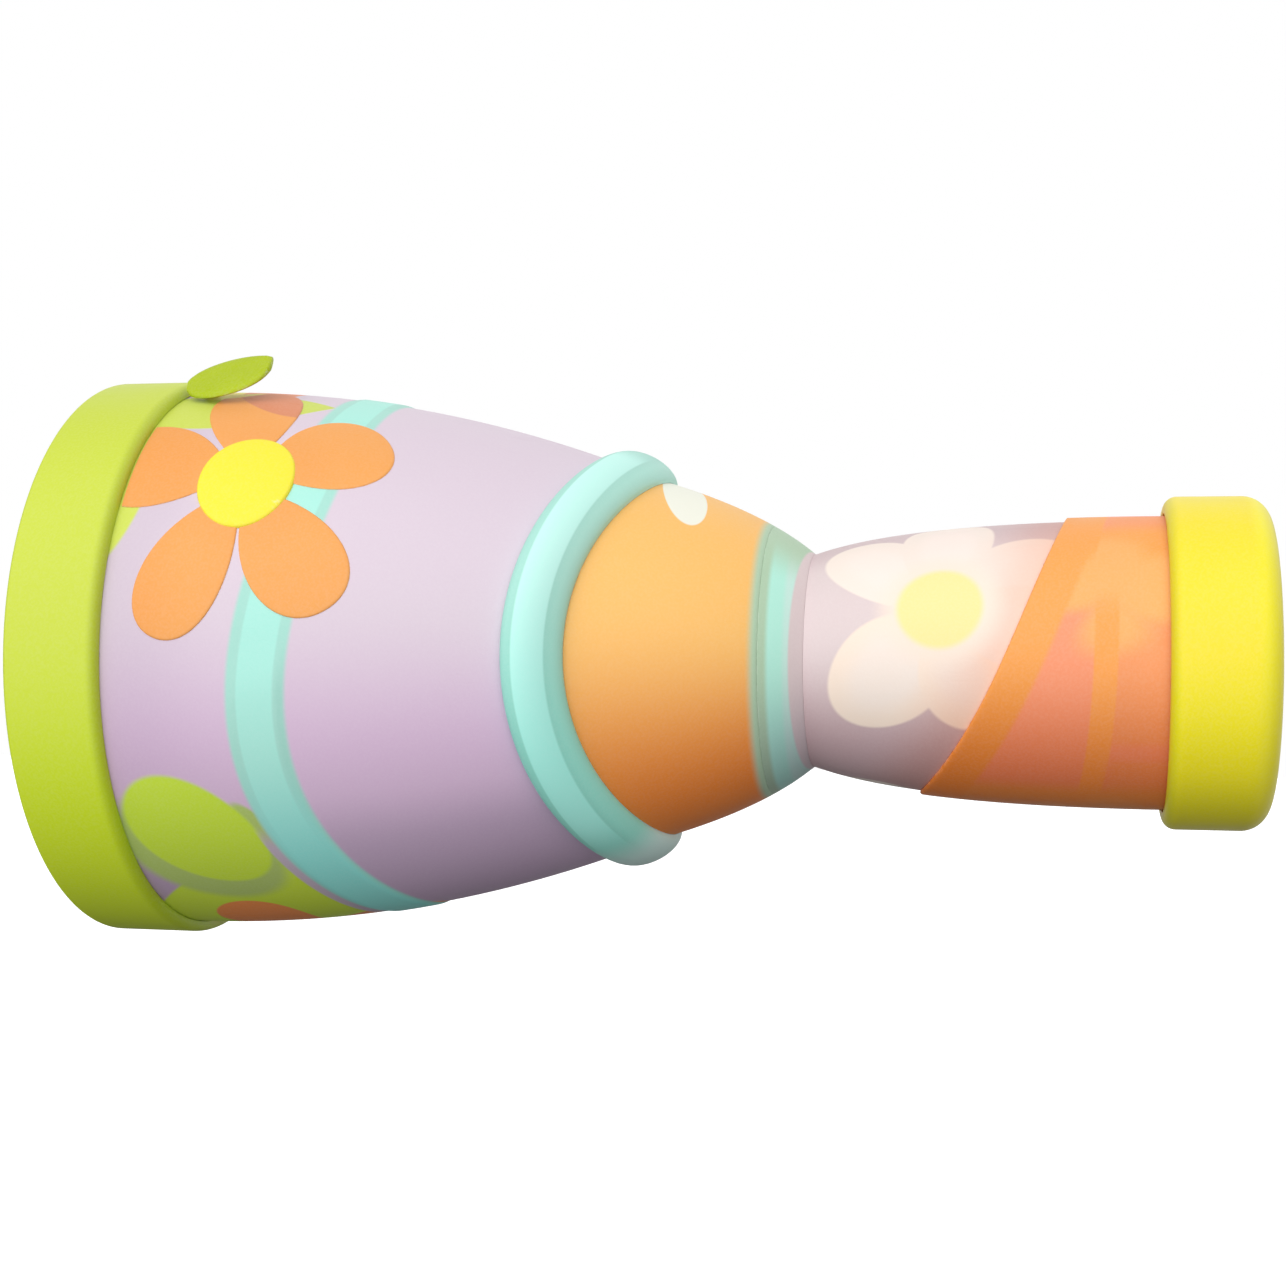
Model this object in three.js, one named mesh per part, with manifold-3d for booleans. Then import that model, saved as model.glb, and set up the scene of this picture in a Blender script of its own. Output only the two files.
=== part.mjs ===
// Toy kaleidoscope with a turning object cell, lying along its optical axis.
// Units are millimetres. +X runs along the optical axis from the wide turning end to the
// eyepiece, +Z is up, and the origin is the centre of the front face.
import * as THREE from 'three';
import { mergeVertices } from 'three/addons/utils/BufferGeometryUtils.js';
import Module from 'manifold-3d';

const wasm = await Module();
wasm.setup();

// Driving dimensions: lengths along the axis.
const LENGTH = 189;
const RIM_END = 15.2;
const SEAM_X = 85.3;
const NECK_RING_X = 111.8;
const NECK_X = 118.3;
const CAP_X = 173;
const GAP = 0.3;

// Driving dimensions: radii and walls.
const RIM_R = 47.1;
const RIM_BORE_R = 45.65;
const RIM_FRONT_FILLET = 0.8;
const RIM_REAR_FILLET = 1.2;
const SHELL_R = 45.3;
const SHELL_BORE_R = 43.3;
const CELL_R = 41.2;
const SPIGOT_BORE_R = 16.75;
const TUBE_R = 14.8;
const CAP_R = 26.1;
const WALL = 2.2;

// The decorative rings sway along the axis as they go round the body.
const SEAM_SWAY = 5.7;
const SEAM_LEAN = 0.6;
const WRAP_X = 147.7;
const WRAP_SLANT = 11;
const WRAP_BEND = 0.9;
const WRAP_RIPPLE = 0.4;

// Roundness of the faceted solids.
const ROUND = 40;
const INNER_ROUND = 24;
const CORNER_STEPS = 3;
const SHELL_STEPS = 7;

// Outer curves of the three hollow body parts, as (x, radius).
const SHELL_CURVE = bezier([15, SHELL_R], [46, 45.4], [74, 37.7], [95, 28.7]);
const CONE_CURVE = bezier([79.5, 32.8], [96, 29.6], [110.5, 24], [NECK_X, 17.3]);
const GRIP_CURVE = bezier([118.6, 17.3], [129, 20.9], [148, 22.7], [179.2, 22.4]);

const COLOURS = {
  lime: [0xd9f062, 0.45],
  lavender: [0xe0cee2, 0.5],
  mint: [0xb0f0e0, 0.45],
  orange: [0xf9b066, 0.5],
  lilac: [0xe6dadc, 0.5],
  coral: [0xf79a72, 0.5],
  yellow: [0xfaf046, 0.4],
  leafGreen: [0xb8ce38, 0.5],
  flowerYellow: [0xfdf44a, 0.5],
  clear: [0xe8f4f6, 0.1],
  frosted: [0xf4f4f0, 0.7],
  black: [0x1c1c1e, 0.8],
  mirror: [0xd8dce0, 0.05, 1],
  foam: [0x4a4a4e, 0.95],
  felt: [0xd8d0c4, 0.95],
  ruby: [0xe03048, 0.15],
  cobalt: [0x2858d8, 0.15],
  amber: [0xf8a020, 0.15],
  emerald: [0x28b060, 0.15],
  magenta: [0xe040b0, 0.15],
  violet: [0x7840d0, 0.15],
  turquoise: [0x20c0c8, 0.15],
  lemon: [0xf0e030, 0.15],
};

const object = new THREE.Group();
const barrel = new THREE.Group();
const objectCell = new THREE.Group();
object.add(barrel, objectCell);

function bezier(...points) {
  return new THREE.CubicBezierCurve(...points.map(([x, r]) => new THREE.Vector2(x, r)));
}

function smoothstep(x, from, to) {
  const t = Math.min(Math.max((x - from) / (to - from), 0), 1);
  return t * t * (3 - 2 * t);
}

// Radius of a body curve at x, found by halving its parameter range.
function radiusAt(curve, x) {
  let low = 0;
  let high = 1;
  for (let step = 0; step < 30; step += 1) {
    const middle = (low + high) / 2;
    if (curve.getPoint(middle).x < x) {
      low = middle;
    } else {
      high = middle;
    }
  }
  return curve.getPoint(low).y;
}

// (x, radius) points of a body curve between two stations, moved outward by offset.
function stations(curve, from, to, count, offset = 0) {
  return Array.from({ length: count + 1 }, (_, i) => {
    const x = from + ((to - from) * i) / count;
    return [x, radiusAt(curve, x) + offset];
  });
}

function add(parent, name, geometry, colour) {
  const [color, roughness, metalness = 0] = COLOURS[colour];
  const material = new THREE.MeshStandardMaterial({ color, roughness, metalness });
  const mesh = new THREE.Mesh(geometry, material);
  mesh.name = name;
  parent.add(mesh);
  return mesh;
}

// Signed volume of an indexed geometry: negative when its faces point inward.
function signedVolume(geometry) {
  const position = geometry.getAttribute('position');
  const index = geometry.getIndex();
  const corner = [new THREE.Vector3(), new THREE.Vector3(), new THREE.Vector3()];
  let volume = 0;
  for (let i = 0; i < index.count; i += 3) {
    corner.forEach((vector, k) => vector.fromBufferAttribute(position, index.getX(i + k)));
    volume += corner[0].dot(corner[1].cross(corner[2])) / 6;
  }
  return volume;
}

// One closed surface: shared vertices merged, no sliver at a pole, faces pointing out.
function sealed(geometry) {
  const bare = geometry.clone();
  bare.deleteAttribute('normal');
  bare.deleteAttribute('uv');
  const merged = mergeVertices(bare);
  const old = Array.from(merged.getIndex().array);
  const kept = [];
  for (let i = 0; i < old.length; i += 3) {
    const [a, b, c] = old.slice(i, i + 3);
    if (a !== b && b !== c && c !== a) {
      kept.push(a, b, c);
    }
  }
  merged.setIndex(kept);
  if (signedVolume(merged) < 0) {
    merged.setIndex(kept.reverse());
  }
  return merged;
}

// Turns an (x, radius) outline about the X axis.
function revolve(points, segments = ROUND) {
  const profile = points.map(([x, r]) => new THREE.Vector2(r, x));
  const geometry = new THREE.LatheGeometry(profile, segments);
  geometry.rotateZ(-Math.PI / 2);
  return sealed(geometry);
}

function revolveLoop(points, segments = ROUND) {
  return revolve([...points, points[0]], segments);
}

function ring(from, to, innerR, outerR, segments = ROUND) {
  return revolveLoop([[from, innerR], [from, outerR], [to, outerR], [to, innerR]], segments);
}

function disc(from, to, radius, segments = ROUND) {
  return revolve([[from, 0], [from, radius], [to, radius], [to, 0]], segments);
}

// Quarter-circle corner of an (x, radius) outline, from one angle to another in degrees.
function corner(x, r, radius, fromDeg, toDeg) {
  const start = THREE.MathUtils.degToRad(fromDeg);
  const end = THREE.MathUtils.degToRad(toDeg);
  const arc = new THREE.EllipseCurve(x, r, radius, radius, start, end, end < start);
  return arc.getPoints(CORNER_STEPS).map((p) => [p.x, p.y]);
}

// Moves every vertex of a revolved solid: place(x, radius, angle) gives its new x and radius.
// The angle is 0 at -Y and grows towards +Z.
function reshape(geometry, place) {
  const position = geometry.getAttribute('position');
  for (let i = 0; i < position.count; i += 1) {
    const y = position.getY(i);
    const z = position.getZ(i);
    const r = Math.hypot(y, z);
    const angle = Math.atan2(z, -y);
    const [newX, newR] = place(position.getX(i), r, angle);
    position.setXYZ(i, newX, (y / r) * newR, (z / r) * newR);
  }
  return geometry;
}

function toManifold(geometry) {
  const vertProperties = new Float32Array(geometry.getAttribute('position').array);
  const triVerts = new Uint32Array(geometry.getIndex().array);
  return new wasm.Manifold(new wasm.Mesh({ numProp: 3, vertProperties, triVerts }));
}

function fromManifold(manifold) {
  const { vertProperties, triVerts } = manifold.getMesh();
  const geometry = new THREE.BufferGeometry();
  geometry.setAttribute('position', new THREE.BufferAttribute(vertProperties, 3));
  geometry.setIndex(new THREE.BufferAttribute(triVerts, 1));
  return sealed(geometry);
}

function seamShift(angle) {
  return -SEAM_SWAY * Math.cos(2 * angle) - SEAM_LEAN * Math.sin(angle);
}

// How far the sleeve's slanted front edge lies behind WRAP_X.
function wrapShift(angle) {
  const bend = WRAP_BEND * Math.cos(2 * angle);
  return WRAP_SLANT * Math.sin(angle) + bend - WRAP_RIPPLE * Math.sin(3 * angle);
}

// Wide front shell: its bore holds the object cell and a groove holds the turning rim.
function frontShell() {
  const swayFrom = 55;
  const outer = stations(SHELL_CURVE, 24, SEAM_X, SHELL_STEPS);
  const inner = stations(SHELL_CURVE, 24, SEAM_X, 4, -WALL).reverse();
  const mouth = [
    [5.3, SHELL_BORE_R],
    [5.3, 44.8],
    [5.8, 45.2],
    [8.3, 45.2],
    [8.3, 44.35],
    [11.3, 44.35],
    [11.3, 45.2],
    [15, SHELL_R],
  ];
  const shell = revolveLoop([...mouth, ...outer, ...inner]);
  return reshape(shell, (x, r, angle) => {
    const newX = x + seamShift(angle) * smoothstep(x, swayFrom, SEAM_X);
    const slope = x > swayFrom ? radiusAt(SHELL_CURVE, newX) - radiusAt(SHELL_CURVE, x) : 0;
    return [newX, r + slope];
  });
}

// Middle cone: meets the shell under the trim band and grips the spigot of the grip tube.
function centreCone() {
  const start = SEAM_X + 0.4;
  const swayTo = 104;
  const rear = NECK_RING_X - GAP;
  const outer = stations(CONE_CURVE, start, rear, 6);
  const inner = stations(CONE_CURVE, start, 103.5, 3, -WALL).reverse();
  const bore = [[rear, SPIGOT_BORE_R], [107, SPIGOT_BORE_R]];
  const cone = revolveLoop([...outer, ...bore, ...inner]);
  return reshape(cone, (x, r, angle) => {
    const newX = x + seamShift(angle) * (1 - smoothstep(x, start, swayTo));
    const slope = x < swayTo ? radiusAt(CONE_CURVE, newX) - radiusAt(CONE_CURVE, x) : 0;
    return [newX, r + slope];
  });
}

// Domed band over the seam. It is revolved as (offset from seam, height) and then laid on.
function trimBand() {
  const half = 4.3;
  const height = 3;
  const edge = 0.5;
  const ridge = 100;
  const base = [[half, ridge - 1], [0.6, ridge - 1], [-half, ridge - 1]];
  const dome = Array.from({ length: 7 }, (_, i) => {
    const angle = Math.PI - (Math.PI * i) / 6;
    return [half * Math.cos(angle), ridge + edge + (height - edge) * Math.sin(angle)];
  });
  return reshape(revolveLoop([...base, ...dome]), (offset, raised, angle) => {
    const centre = SEAM_X + seamShift(angle);
    const x = centre + offset;
    if (raised < ridge) {
      const surface = offset < 1 ? radiusAt(SHELL_CURVE, x) : radiusAt(CONE_CURVE, x);
      return [x, surface + GAP + 0.05];
    }
    const left = radiusAt(SHELL_CURVE, centre - half);
    const right = radiusAt(CONE_CURVE, centre + half);
    const chord = THREE.MathUtils.lerp(left, right, (offset + half) / (2 * half));
    return [x, chord + GAP + raised - ridge];
  });
}

function neckRing() {
  const outer = stations(CONE_CURVE, NECK_RING_X, NECK_X, 3);
  return revolveLoop([...outer, [NECK_X, SPIGOT_BORE_R], [NECK_RING_X, SPIGOT_BORE_R]]);
}

// Grip tube: a spigot runs forward through the neck ring into the cone.
function gripTube() {
  const end = 179.2;
  const spigot = [[124, 15.15], [107.6, 15.15], [107.6, 16.4], [118.6, 16.4]];
  const outer = stations(GRIP_CURVE, 118.6, end, 6);
  const inner = stations(GRIP_CURVE, 128, end, 3, -WALL).reverse();
  return revolveLoop([...spigot, ...outer, ...inner]);
}

// Thin sleeve round the grip with a slanted front edge.
function gripWrap() {
  const end = 177;
  const underside = GAP + 0.05;
  const thickness = 0.5;
  const inner = stations(GRIP_CURVE, WRAP_X, end, 4, underside);
  const outer = stations(GRIP_CURVE, WRAP_X, end, 4, underside + thickness).reverse();
  return reshape(revolveLoop([...inner, ...outer]), (x, r, angle) => {
    const newX = x + (wrapShift(angle) * (end - x)) / (end - WRAP_X);
    return [newX, r + radiusAt(GRIP_CURVE, newX) - radiusAt(GRIP_CURVE, x)];
  });
}

// Eyepiece cap: slides over the grip; its end wall is dished around the peep hole.
function eyepieceCap() {
  const bore = 23.8;
  const inside = 179.7;
  const pocket = 183.2;
  return revolveLoop([
    [CAP_X, bore],
    ...corner(CAP_X + 2, CAP_R - 2, 2, 180, 90),
    ...corner(LENGTH - 5, CAP_R - 5, 5, 90, 0),
    [LENGTH, 17.5],
    [LENGTH - 1.8, 12],
    [LENGTH - 3, 7],
    [pocket, 7],
    [pocket, 12],
    [inside, 12],
    [inside, bore],
  ]);
}

// Turning rim: a lip holds the front lens and an inner bead snaps into the shell's groove.
function cellRim() {
  const lip = 2.1;
  return revolveLoop([
    [0, 38.4],
    ...corner(RIM_FRONT_FILLET, RIM_R - RIM_FRONT_FILLET, RIM_FRONT_FILLET, 180, 90),
    ...corner(RIM_END - RIM_REAR_FILLET, RIM_R - RIM_REAR_FILLET, RIM_REAR_FILLET, 90, 0),
    [RIM_END, RIM_BORE_R],
    [10.8, RIM_BORE_R],
    [10.4, 44.8],
    [9.2, 44.8],
    [8.8, RIM_BORE_R],
    [lip, RIM_BORE_R],
    [lip, 38.4],
  ]);
}

function cellCup() {
  const flangeR = 45.2;
  return revolveLoop([
    [2.4, 41.5],
    [2.4, flangeR],
    [3.9, flangeR],
    [3.9, 42.9],
    [18.3, 42.9],
    [18.3, 41.5],
  ]);
}

function frontLens() {
  return revolve([[0, 0], [0, 38], [2.4, 38], [2.4, CELL_R], [3.9, CELL_R], [3.9, 0]]);
}

// Places a geometry that was drawn around +Z so that +Z points along +X.
function layAlongAxis(geometry) {
  geometry.rotateY(Math.PI / 2);
  return geometry;
}

function extrude(shape, depth, curveSegments = 4) {
  return new THREE.ExtrudeGeometry(shape, { depth, curveSegments, bevelEnabled: false });
}

// Three strip mirrors form a triangular tunnel; a foam strip backs each one.
const MIRROR = { from: 20, to: 175.6, thick: 1.5, width: 21.8, inner: 6.5 };

function aroundAxis(geometry, turn) {
  geometry.rotateX((turn * 2 * Math.PI) / 3);
  return geometry;
}

function mirrorStrip(turn) {
  const length = MIRROR.to - MIRROR.from;
  const strip = new THREE.BoxGeometry(length, MIRROR.width, MIRROR.thick);
  strip.translate(MIRROR.from + length / 2, 0, -MIRROR.inner - MIRROR.thick / 2);
  return sealed(aroundAxis(strip, turn));
}

function mirrorPad(turn) {
  const chord = MIRROR.inner + MIRROR.thick + GAP;
  const radius = 13.6;
  const half = Math.acos(chord / radius);
  const section = new THREE.Shape();
  section.absarc(0, 0, radius, -half, half, false);
  section.closePath();
  const pad = extrude(section, MIRROR.to - MIRROR.from, 6);
  layAlongAxis(pad);
  pad.translate(MIRROR.from, 0, 0);
  return sealed(aroundAxis(pad, turn));
}

// Flower on the shell: five thin petals around a disc, at one place on the shell's surface.
const FLOWER = { x: 34.2, angle: 38, surfaceR: 44.5, discX: 7.5, discArc: 9.3 };
const PETALS = [
  { turn: 33, length: 23.2, width: 17.5 },
  { turn: 103, length: 31, width: 14 },
  { turn: 169.5, length: 26, width: 17.5 },
  { turn: 248.5, length: 28.8, width: 12.6 },
  { turn: 305, length: 27, width: 14.5 },
];

// Outline of a petal along +u, from inside the disc to its round tip.
function petalOutline({ length, width }) {
  const root = 4;
  const reach = length - root;
  const shape = new THREE.Shape();
  shape.moveTo(root, -0.1 * width);
  shape.bezierCurveTo(root + 0.45 * reach, -0.75 * width, length, -0.6 * width, length, 0);
  shape.bezierCurveTo(length, 0.6 * width, root + 0.45 * reach, 0.75 * width, root, 0.1 * width);
  return shape.getPoints(8);
}

// Prism over a flat outline (u along X, v round the body) that stands on the flower's normal.
function flowerPrism(points) {
  const bent = points.map((p) => {
    const across = FLOWER.surfaceR * Math.sin(p.y / FLOWER.surfaceR);
    return new THREE.Vector2(p.x, across);
  });
  const prism = extrude(new THREE.Shape(bent), 40);
  prism.translate(0, 0, 15);
  prism.rotateX(Math.PI / 2 - THREE.MathUtils.degToRad(FLOWER.angle));
  prism.translate(FLOWER.x, 0, 0);
  return toManifold(sealed(prism));
}

// Skin of the shell between two heights over its surface, clear of the turning rim.
function shellSkin(low, high) {
  const front = RIM_END + 0.5;
  const pastFlower = 5;
  const outer = stations(SHELL_CURVE, 24, SEAM_X, SHELL_STEPS, high).slice(0, pastFlower);
  const inner = stations(SHELL_CURVE, 24, SEAM_X, SHELL_STEPS, low).slice(0, pastFlower).reverse();
  const edge = [[front, SHELL_R + low], [front, SHELL_R + high]];
  return toManifold(revolveLoop([...edge, ...outer, ...inner]));
}

function discOutline(margin = 0) {
  const shape = new THREE.Shape();
  shape.absellipse(0, 0, FLOWER.discX + margin, FLOWER.discArc + margin, 0, 2 * Math.PI, false, 0);
  return shape.getPoints(10);
}

function petal(form, skin, cleared) {
  const turn = THREE.MathUtils.degToRad(form.turn);
  const points = petalOutline(form).map((p) => p.rotateAround(new THREE.Vector2(), turn));
  return fromManifold(flowerPrism(points).intersect(skin).subtract(cleared));
}

function addFlower() {
  const petalSkin = shellSkin(GAP, 0.8);
  const cleared = flowerPrism(discOutline(GAP));
  PETALS.forEach((form, i) => {
    add(barrel, `flower_petal_${i + 1}`, petal(form, petalSkin, cleared), 'orange');
  });
  const centre = flowerPrism(discOutline()).intersect(shellSkin(GAP, 1));
  add(barrel, 'flower_centre', fromManifold(centre), 'flowerYellow');
}

// Leaf-shaped tab that stands up from the shell just behind the rim, on a short round foot.
function leafTab() {
  const length = 15;
  const far = 3.7;
  const near = 5;
  const thick = 1.2;
  const outline = new THREE.Shape();
  outline.moveTo(0, 0);
  outline.bezierCurveTo(0.05 * length, 1.2 * far, 0.6 * length, 1.4 * far, length, 0.8);
  outline.lineTo(length, -0.4);
  outline.bezierCurveTo(0.95 * length, -1.6 * near, 0.1 * length, -0.9 * near, 0, 0);
  const blade = extrude(outline, thick, 8);
  blade.rotateX(THREE.MathUtils.degToRad(45));
  blade.rotateY(THREE.MathUtils.degToRad(-17));
  blade.translate(15.7, -15.6, 43.7);
  const footR = 1.4;
  const footHeight = 2.6;
  const foot = new THREE.CylinderGeometry(footR, footR, footHeight, 12);
  foot.rotateX(Math.PI / 2);
  foot.translate(0, 0, SHELL_R + GAP + footHeight / 2);
  foot.rotateX(THREE.MathUtils.degToRad(19));
  foot.translate(19.2, 0, 0);
  return fromManifold(toManifold(sealed(blade)).add(toManifold(sealed(foot))));
}

// Loose chips of the object cell. Each one rides its own circle about the optical axis, in
// one of two layers, so that no two circles cross.
const CHIP_THICK = 2.8;
const CHIP_LAYER_X = [5.4, 10.1];
const CHIP_R = 4.2;

function regularShape(corners, radius, innerRadius = radius) {
  const count = innerRadius === radius ? corners : 2 * corners;
  const points = Array.from({ length: count }, (_, i) => {
    const angle = (i * 2 * Math.PI) / count;
    const r = i % 2 === 0 ? radius : innerRadius;
    return new THREE.Vector2(r * Math.cos(angle), r * Math.sin(angle));
  });
  return new THREE.Shape(points);
}

function rhombusShape(halfLong, halfShort) {
  const corners = [[halfLong, 0], [0, halfShort], [-halfLong, 0], [0, -halfShort]];
  return new THREE.Shape(corners.map(([x, y]) => new THREE.Vector2(x, y)));
}

function heartShape() {
  const shape = new THREE.Shape();
  shape.moveTo(-3.6, 0);
  shape.bezierCurveTo(-1.5, -2.4, 1, -4.4, 2.6, -3);
  shape.bezierCurveTo(3.9, -1.8, 3, -0.6, 1.8, 0);
  shape.bezierCurveTo(3, 0.6, 3.9, 1.8, 2.6, 3);
  shape.bezierCurveTo(1, 4.4, -1.5, 2.4, -3.6, 0);
  return shape;
}

function ringShape() {
  const shape = new THREE.Shape();
  shape.absarc(0, 0, 3.8, 0, 2 * Math.PI, false);
  const hole = new THREE.Path();
  hole.absarc(0, 0, 1.6, 0, 2 * Math.PI, true);
  shape.holes.push(hole);
  return shape;
}

const CHIPS = [
  { name: 'chip_triangle', shape: regularShape(3, CHIP_R), layer: 0, orbit: 34.8, angle: -78 },
  { name: 'chip_star', shape: regularShape(5, CHIP_R, 2), layer: 0, orbit: 26, angle: -97 },
  { name: 'chip_disc', shape: regularShape(14, 3.6), layer: 0, orbit: 17.2, angle: -84 },
  { name: 'chip_hexagon', shape: regularShape(6, 3.9), layer: 0, orbit: 8.4, angle: -93 },
  { name: 'chip_square', shape: regularShape(4, 4), layer: 1, orbit: 34.8, angle: -101 },
  { name: 'chip_heart', shape: heartShape(), layer: 1, orbit: 26, angle: -81 },
  { name: 'chip_ring', shape: ringShape(), layer: 1, orbit: 17.2, angle: -98 },
  { name: 'chip_diamond', shape: rhombusShape(CHIP_R, 2.6), layer: 1, orbit: 8.4, angle: -88 },
];
const CHIP_COLOURS = ['ruby', 'cobalt', 'amber', 'emerald', 'magenta', 'violet', 'turquoise', 'lemon'];

function chip({ shape, layer, orbit, angle }, turn) {
  const solid = extrude(shape, CHIP_THICK, 5);
  solid.rotateZ(turn);
  layAlongAxis(solid);
  const around = THREE.MathUtils.degToRad(angle);
  solid.translate(CHIP_LAYER_X[layer], -orbit * Math.cos(around), orbit * Math.sin(around));
  return sealed(solid);
}

function addBarrel() {
  add(barrel, 'front_shell', frontShell(), 'lavender');
  add(barrel, 'centre_cone', centreCone(), 'orange');
  add(barrel, 'trim_band', trimBand(), 'mint');
  add(barrel, 'neck_ring', neckRing(), 'mint');
  add(barrel, 'grip_tube', gripTube(), 'lilac');
  add(barrel, 'grip_wrap', gripWrap(), 'coral');
  add(barrel, 'eyepiece_cap', eyepieceCap(), 'yellow');
  add(barrel, 'leaf_tab', leafTab(), 'leafGreen');
  addFlower();
}

function addOptics() {
  add(barrel, 'mirror_tube', ring(19.4, 176.2, TUBE_R - 0.8, TUBE_R, INNER_ROUND), 'black');
  [0, 1, 2].forEach((turn) => {
    add(barrel, `mirror_${turn + 1}`, mirrorStrip(turn), 'mirror');
    add(barrel, `mirror_pad_${turn + 1}`, mirrorPad(turn), 'foam');
  });
  add(barrel, 'front_baffle', ring(19.5, 21, TUBE_R + GAP, 42.8), 'black');
  add(barrel, 'rear_centring_ring', ring(165, 168, TUBE_R + GAP, 20, INNER_ROUND), 'black');
  add(barrel, 'field_stop', ring(176.6, 178, 6.5, 20, INNER_ROUND), 'black');
  add(barrel, 'eye_retainer', ring(179.9, 181.1, 7.6, 11.6, INNER_ROUND), 'black');
  add(barrel, 'eye_window', disc(181.4, 182.9, 11.6, INNER_ROUND), 'clear');
  add(barrel, 'slip_washer', ring(4.2, 5, 43.3, 45.1), 'felt');
}

function addObjectCell() {
  add(objectCell, 'cell_rim', cellRim(), 'lime');
  add(objectCell, 'cell_cup', cellCup(), 'clear');
  add(objectCell, 'front_lens', frontLens(), 'frosted');
  add(objectCell, 'cell_spacer', ring(4.2, 14.2, 39.6, CELL_R), 'black');
  add(objectCell, 'rear_window', disc(14.5, 16, CELL_R), 'clear');
  add(objectCell, 'window_retainer', ring(16.3, 18, 38.6, CELL_R), 'black');
  CHIPS.forEach((form, i) => {
    add(objectCell, form.name, chip(form, i), CHIP_COLOURS[i]);
  });
}

addBarrel();
addOptics();
addObjectCell();

export default object;
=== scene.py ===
"""Toy kaleidoscope: finished surfaces, materials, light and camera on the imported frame."""

import bisect
import functools
import math
import bpy
from mathutils import Euler, Matrix, Vector


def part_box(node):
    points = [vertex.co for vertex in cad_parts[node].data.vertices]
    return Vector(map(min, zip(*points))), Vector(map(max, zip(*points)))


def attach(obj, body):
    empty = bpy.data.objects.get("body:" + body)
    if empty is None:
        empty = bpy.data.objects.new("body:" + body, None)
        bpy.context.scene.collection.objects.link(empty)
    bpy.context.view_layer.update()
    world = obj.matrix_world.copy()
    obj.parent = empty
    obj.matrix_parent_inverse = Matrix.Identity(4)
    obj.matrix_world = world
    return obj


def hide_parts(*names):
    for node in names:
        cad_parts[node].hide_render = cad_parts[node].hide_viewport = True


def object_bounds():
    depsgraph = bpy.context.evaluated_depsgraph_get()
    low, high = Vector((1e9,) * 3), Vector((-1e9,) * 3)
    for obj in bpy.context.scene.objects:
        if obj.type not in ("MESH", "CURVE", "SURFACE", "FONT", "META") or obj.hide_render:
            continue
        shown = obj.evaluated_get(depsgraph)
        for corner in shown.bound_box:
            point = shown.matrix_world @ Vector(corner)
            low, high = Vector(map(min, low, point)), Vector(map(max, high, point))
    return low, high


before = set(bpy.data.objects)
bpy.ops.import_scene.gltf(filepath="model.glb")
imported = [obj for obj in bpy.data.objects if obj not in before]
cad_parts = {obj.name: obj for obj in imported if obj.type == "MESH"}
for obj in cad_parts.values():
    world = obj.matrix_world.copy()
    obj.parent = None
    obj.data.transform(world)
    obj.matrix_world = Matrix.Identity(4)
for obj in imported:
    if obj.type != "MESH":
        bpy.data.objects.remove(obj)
CAD_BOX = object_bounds()
MM = 0.001


def span(node):
    """Lowest and highest X of a CAD node and its largest radius, in millimetres."""
    low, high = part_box(node)
    return low.x / MM, high.x / MM, high.z / MM


# Sizes from the frame, in millimetres.
_, RIM_END, RIM_R = span("cell_rim")
CAP_X, LENGTH, CAP_R = span("eyepiece_cap")
NECK_RING_X, NECK_X, _ = span("neck_ring")
GRIP_END = span("grip_tube")[1]
WRAP_END = span("grip_wrap")[1]
CUP_X, CUP_END, CUP_FLANGE_R = span("cell_cup")

# Outer curves of the body parts, as (x, radius) control points in millimetres.
SHELL_R = 45.3
SHELL_CURVE = ((15, SHELL_R), (46, 45.4), (74, 37.7), (95, 28.7))
CONE_CURVE = ((79.5, 32.8), (96, 29.6), (110.5, 24), (118.3, 17.3))
GRIP_CURVE = ((118.6, 17.3), (129, 20.9), (148, 22.7), (179.2, 22.4))
WALL = 2.2

# Edges that sway along X. A wave is (millimetres, its shape, how many times it repeats round the body).
SEAM_X = 85.3
SEAM_WAVES = ((-5.7, "COSINE", 2), (-0.6, "SINE", 1))
WRAP_X = 147.7
WRAP_WAVES = ((11, "SINE", 1), (0.9, "COSINE", 2), (-0.4, "SINE", 3))
STRIPE_X = 44.48
STRIPE_WAVES = ((-1.35, "SINE", 1), (-4.82, "COSINE", 2), (1.97, "SINE", 3))
STRIPE_HALF = 4.3
STRIPE_RISE = 0.3

# The shell and the cone follow the seam's sway only this near to it.
SHELL_SWAY_X = 55
CONE_SWAY_X = 104

# The raised flower, and the painted patches that show through its top petal.
FLOWER_X = 34.2
FLOWER_ANGLE = 38
FLOWER_R = 44.5
FLOWER_CLEAR = (27.5, 36)
DISC_X = 7.5
DISC_ARC = 9.3
PATCH_X = 21
PATCH_ANGLE = 79.5

# Bore of the cone's rear end and of the neck ring, which the grip's spigot fits.
NECK_BORE = 16.75

# Fineness of the meshes.
ROUND = 256
INNER_ROUND = 96
CURVE_SAMPLES = 800
SHARP_DEG = 35

# Moulded texture of the painted parts: height of the grain, and strength of the mottling and of the wear.
GRAIN = 0.06
MOTTLE = 0.035
MOTTLE_TINT = (0.55, 0.5, 0.55, 1)
WEAR = 0.3
WORN = (0.95, 0.94, 0.9, 1)

# Studio light. A lobe is (direction towards it, cosine of the angle where it starts, strength in its middle).
FRONT_LIGHT = ((-0.15, -1, 0.375), 0.2, 1.62)
BACK_LIGHT = ((0.3, 1, 0.5), 0.3, 0.85)
FILL_START = -0.45
FILL_LOW, FILL_HIGH = 0.07, 0.34

# Camera, in metres, degrees and, for its lens and sensor, millimetres.
CAMERA_PLACE = (0.15496, -0.3239, 0)
CAMERA_YAW, CAMERA_PITCH, CAMERA_ROLL = 11.396, 0.4716, 0.3867
CAMERA_LENS = 55.82
CAMERA_SENSOR = 36


# ---------------------------------------------------------------- curves and outlines


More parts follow.
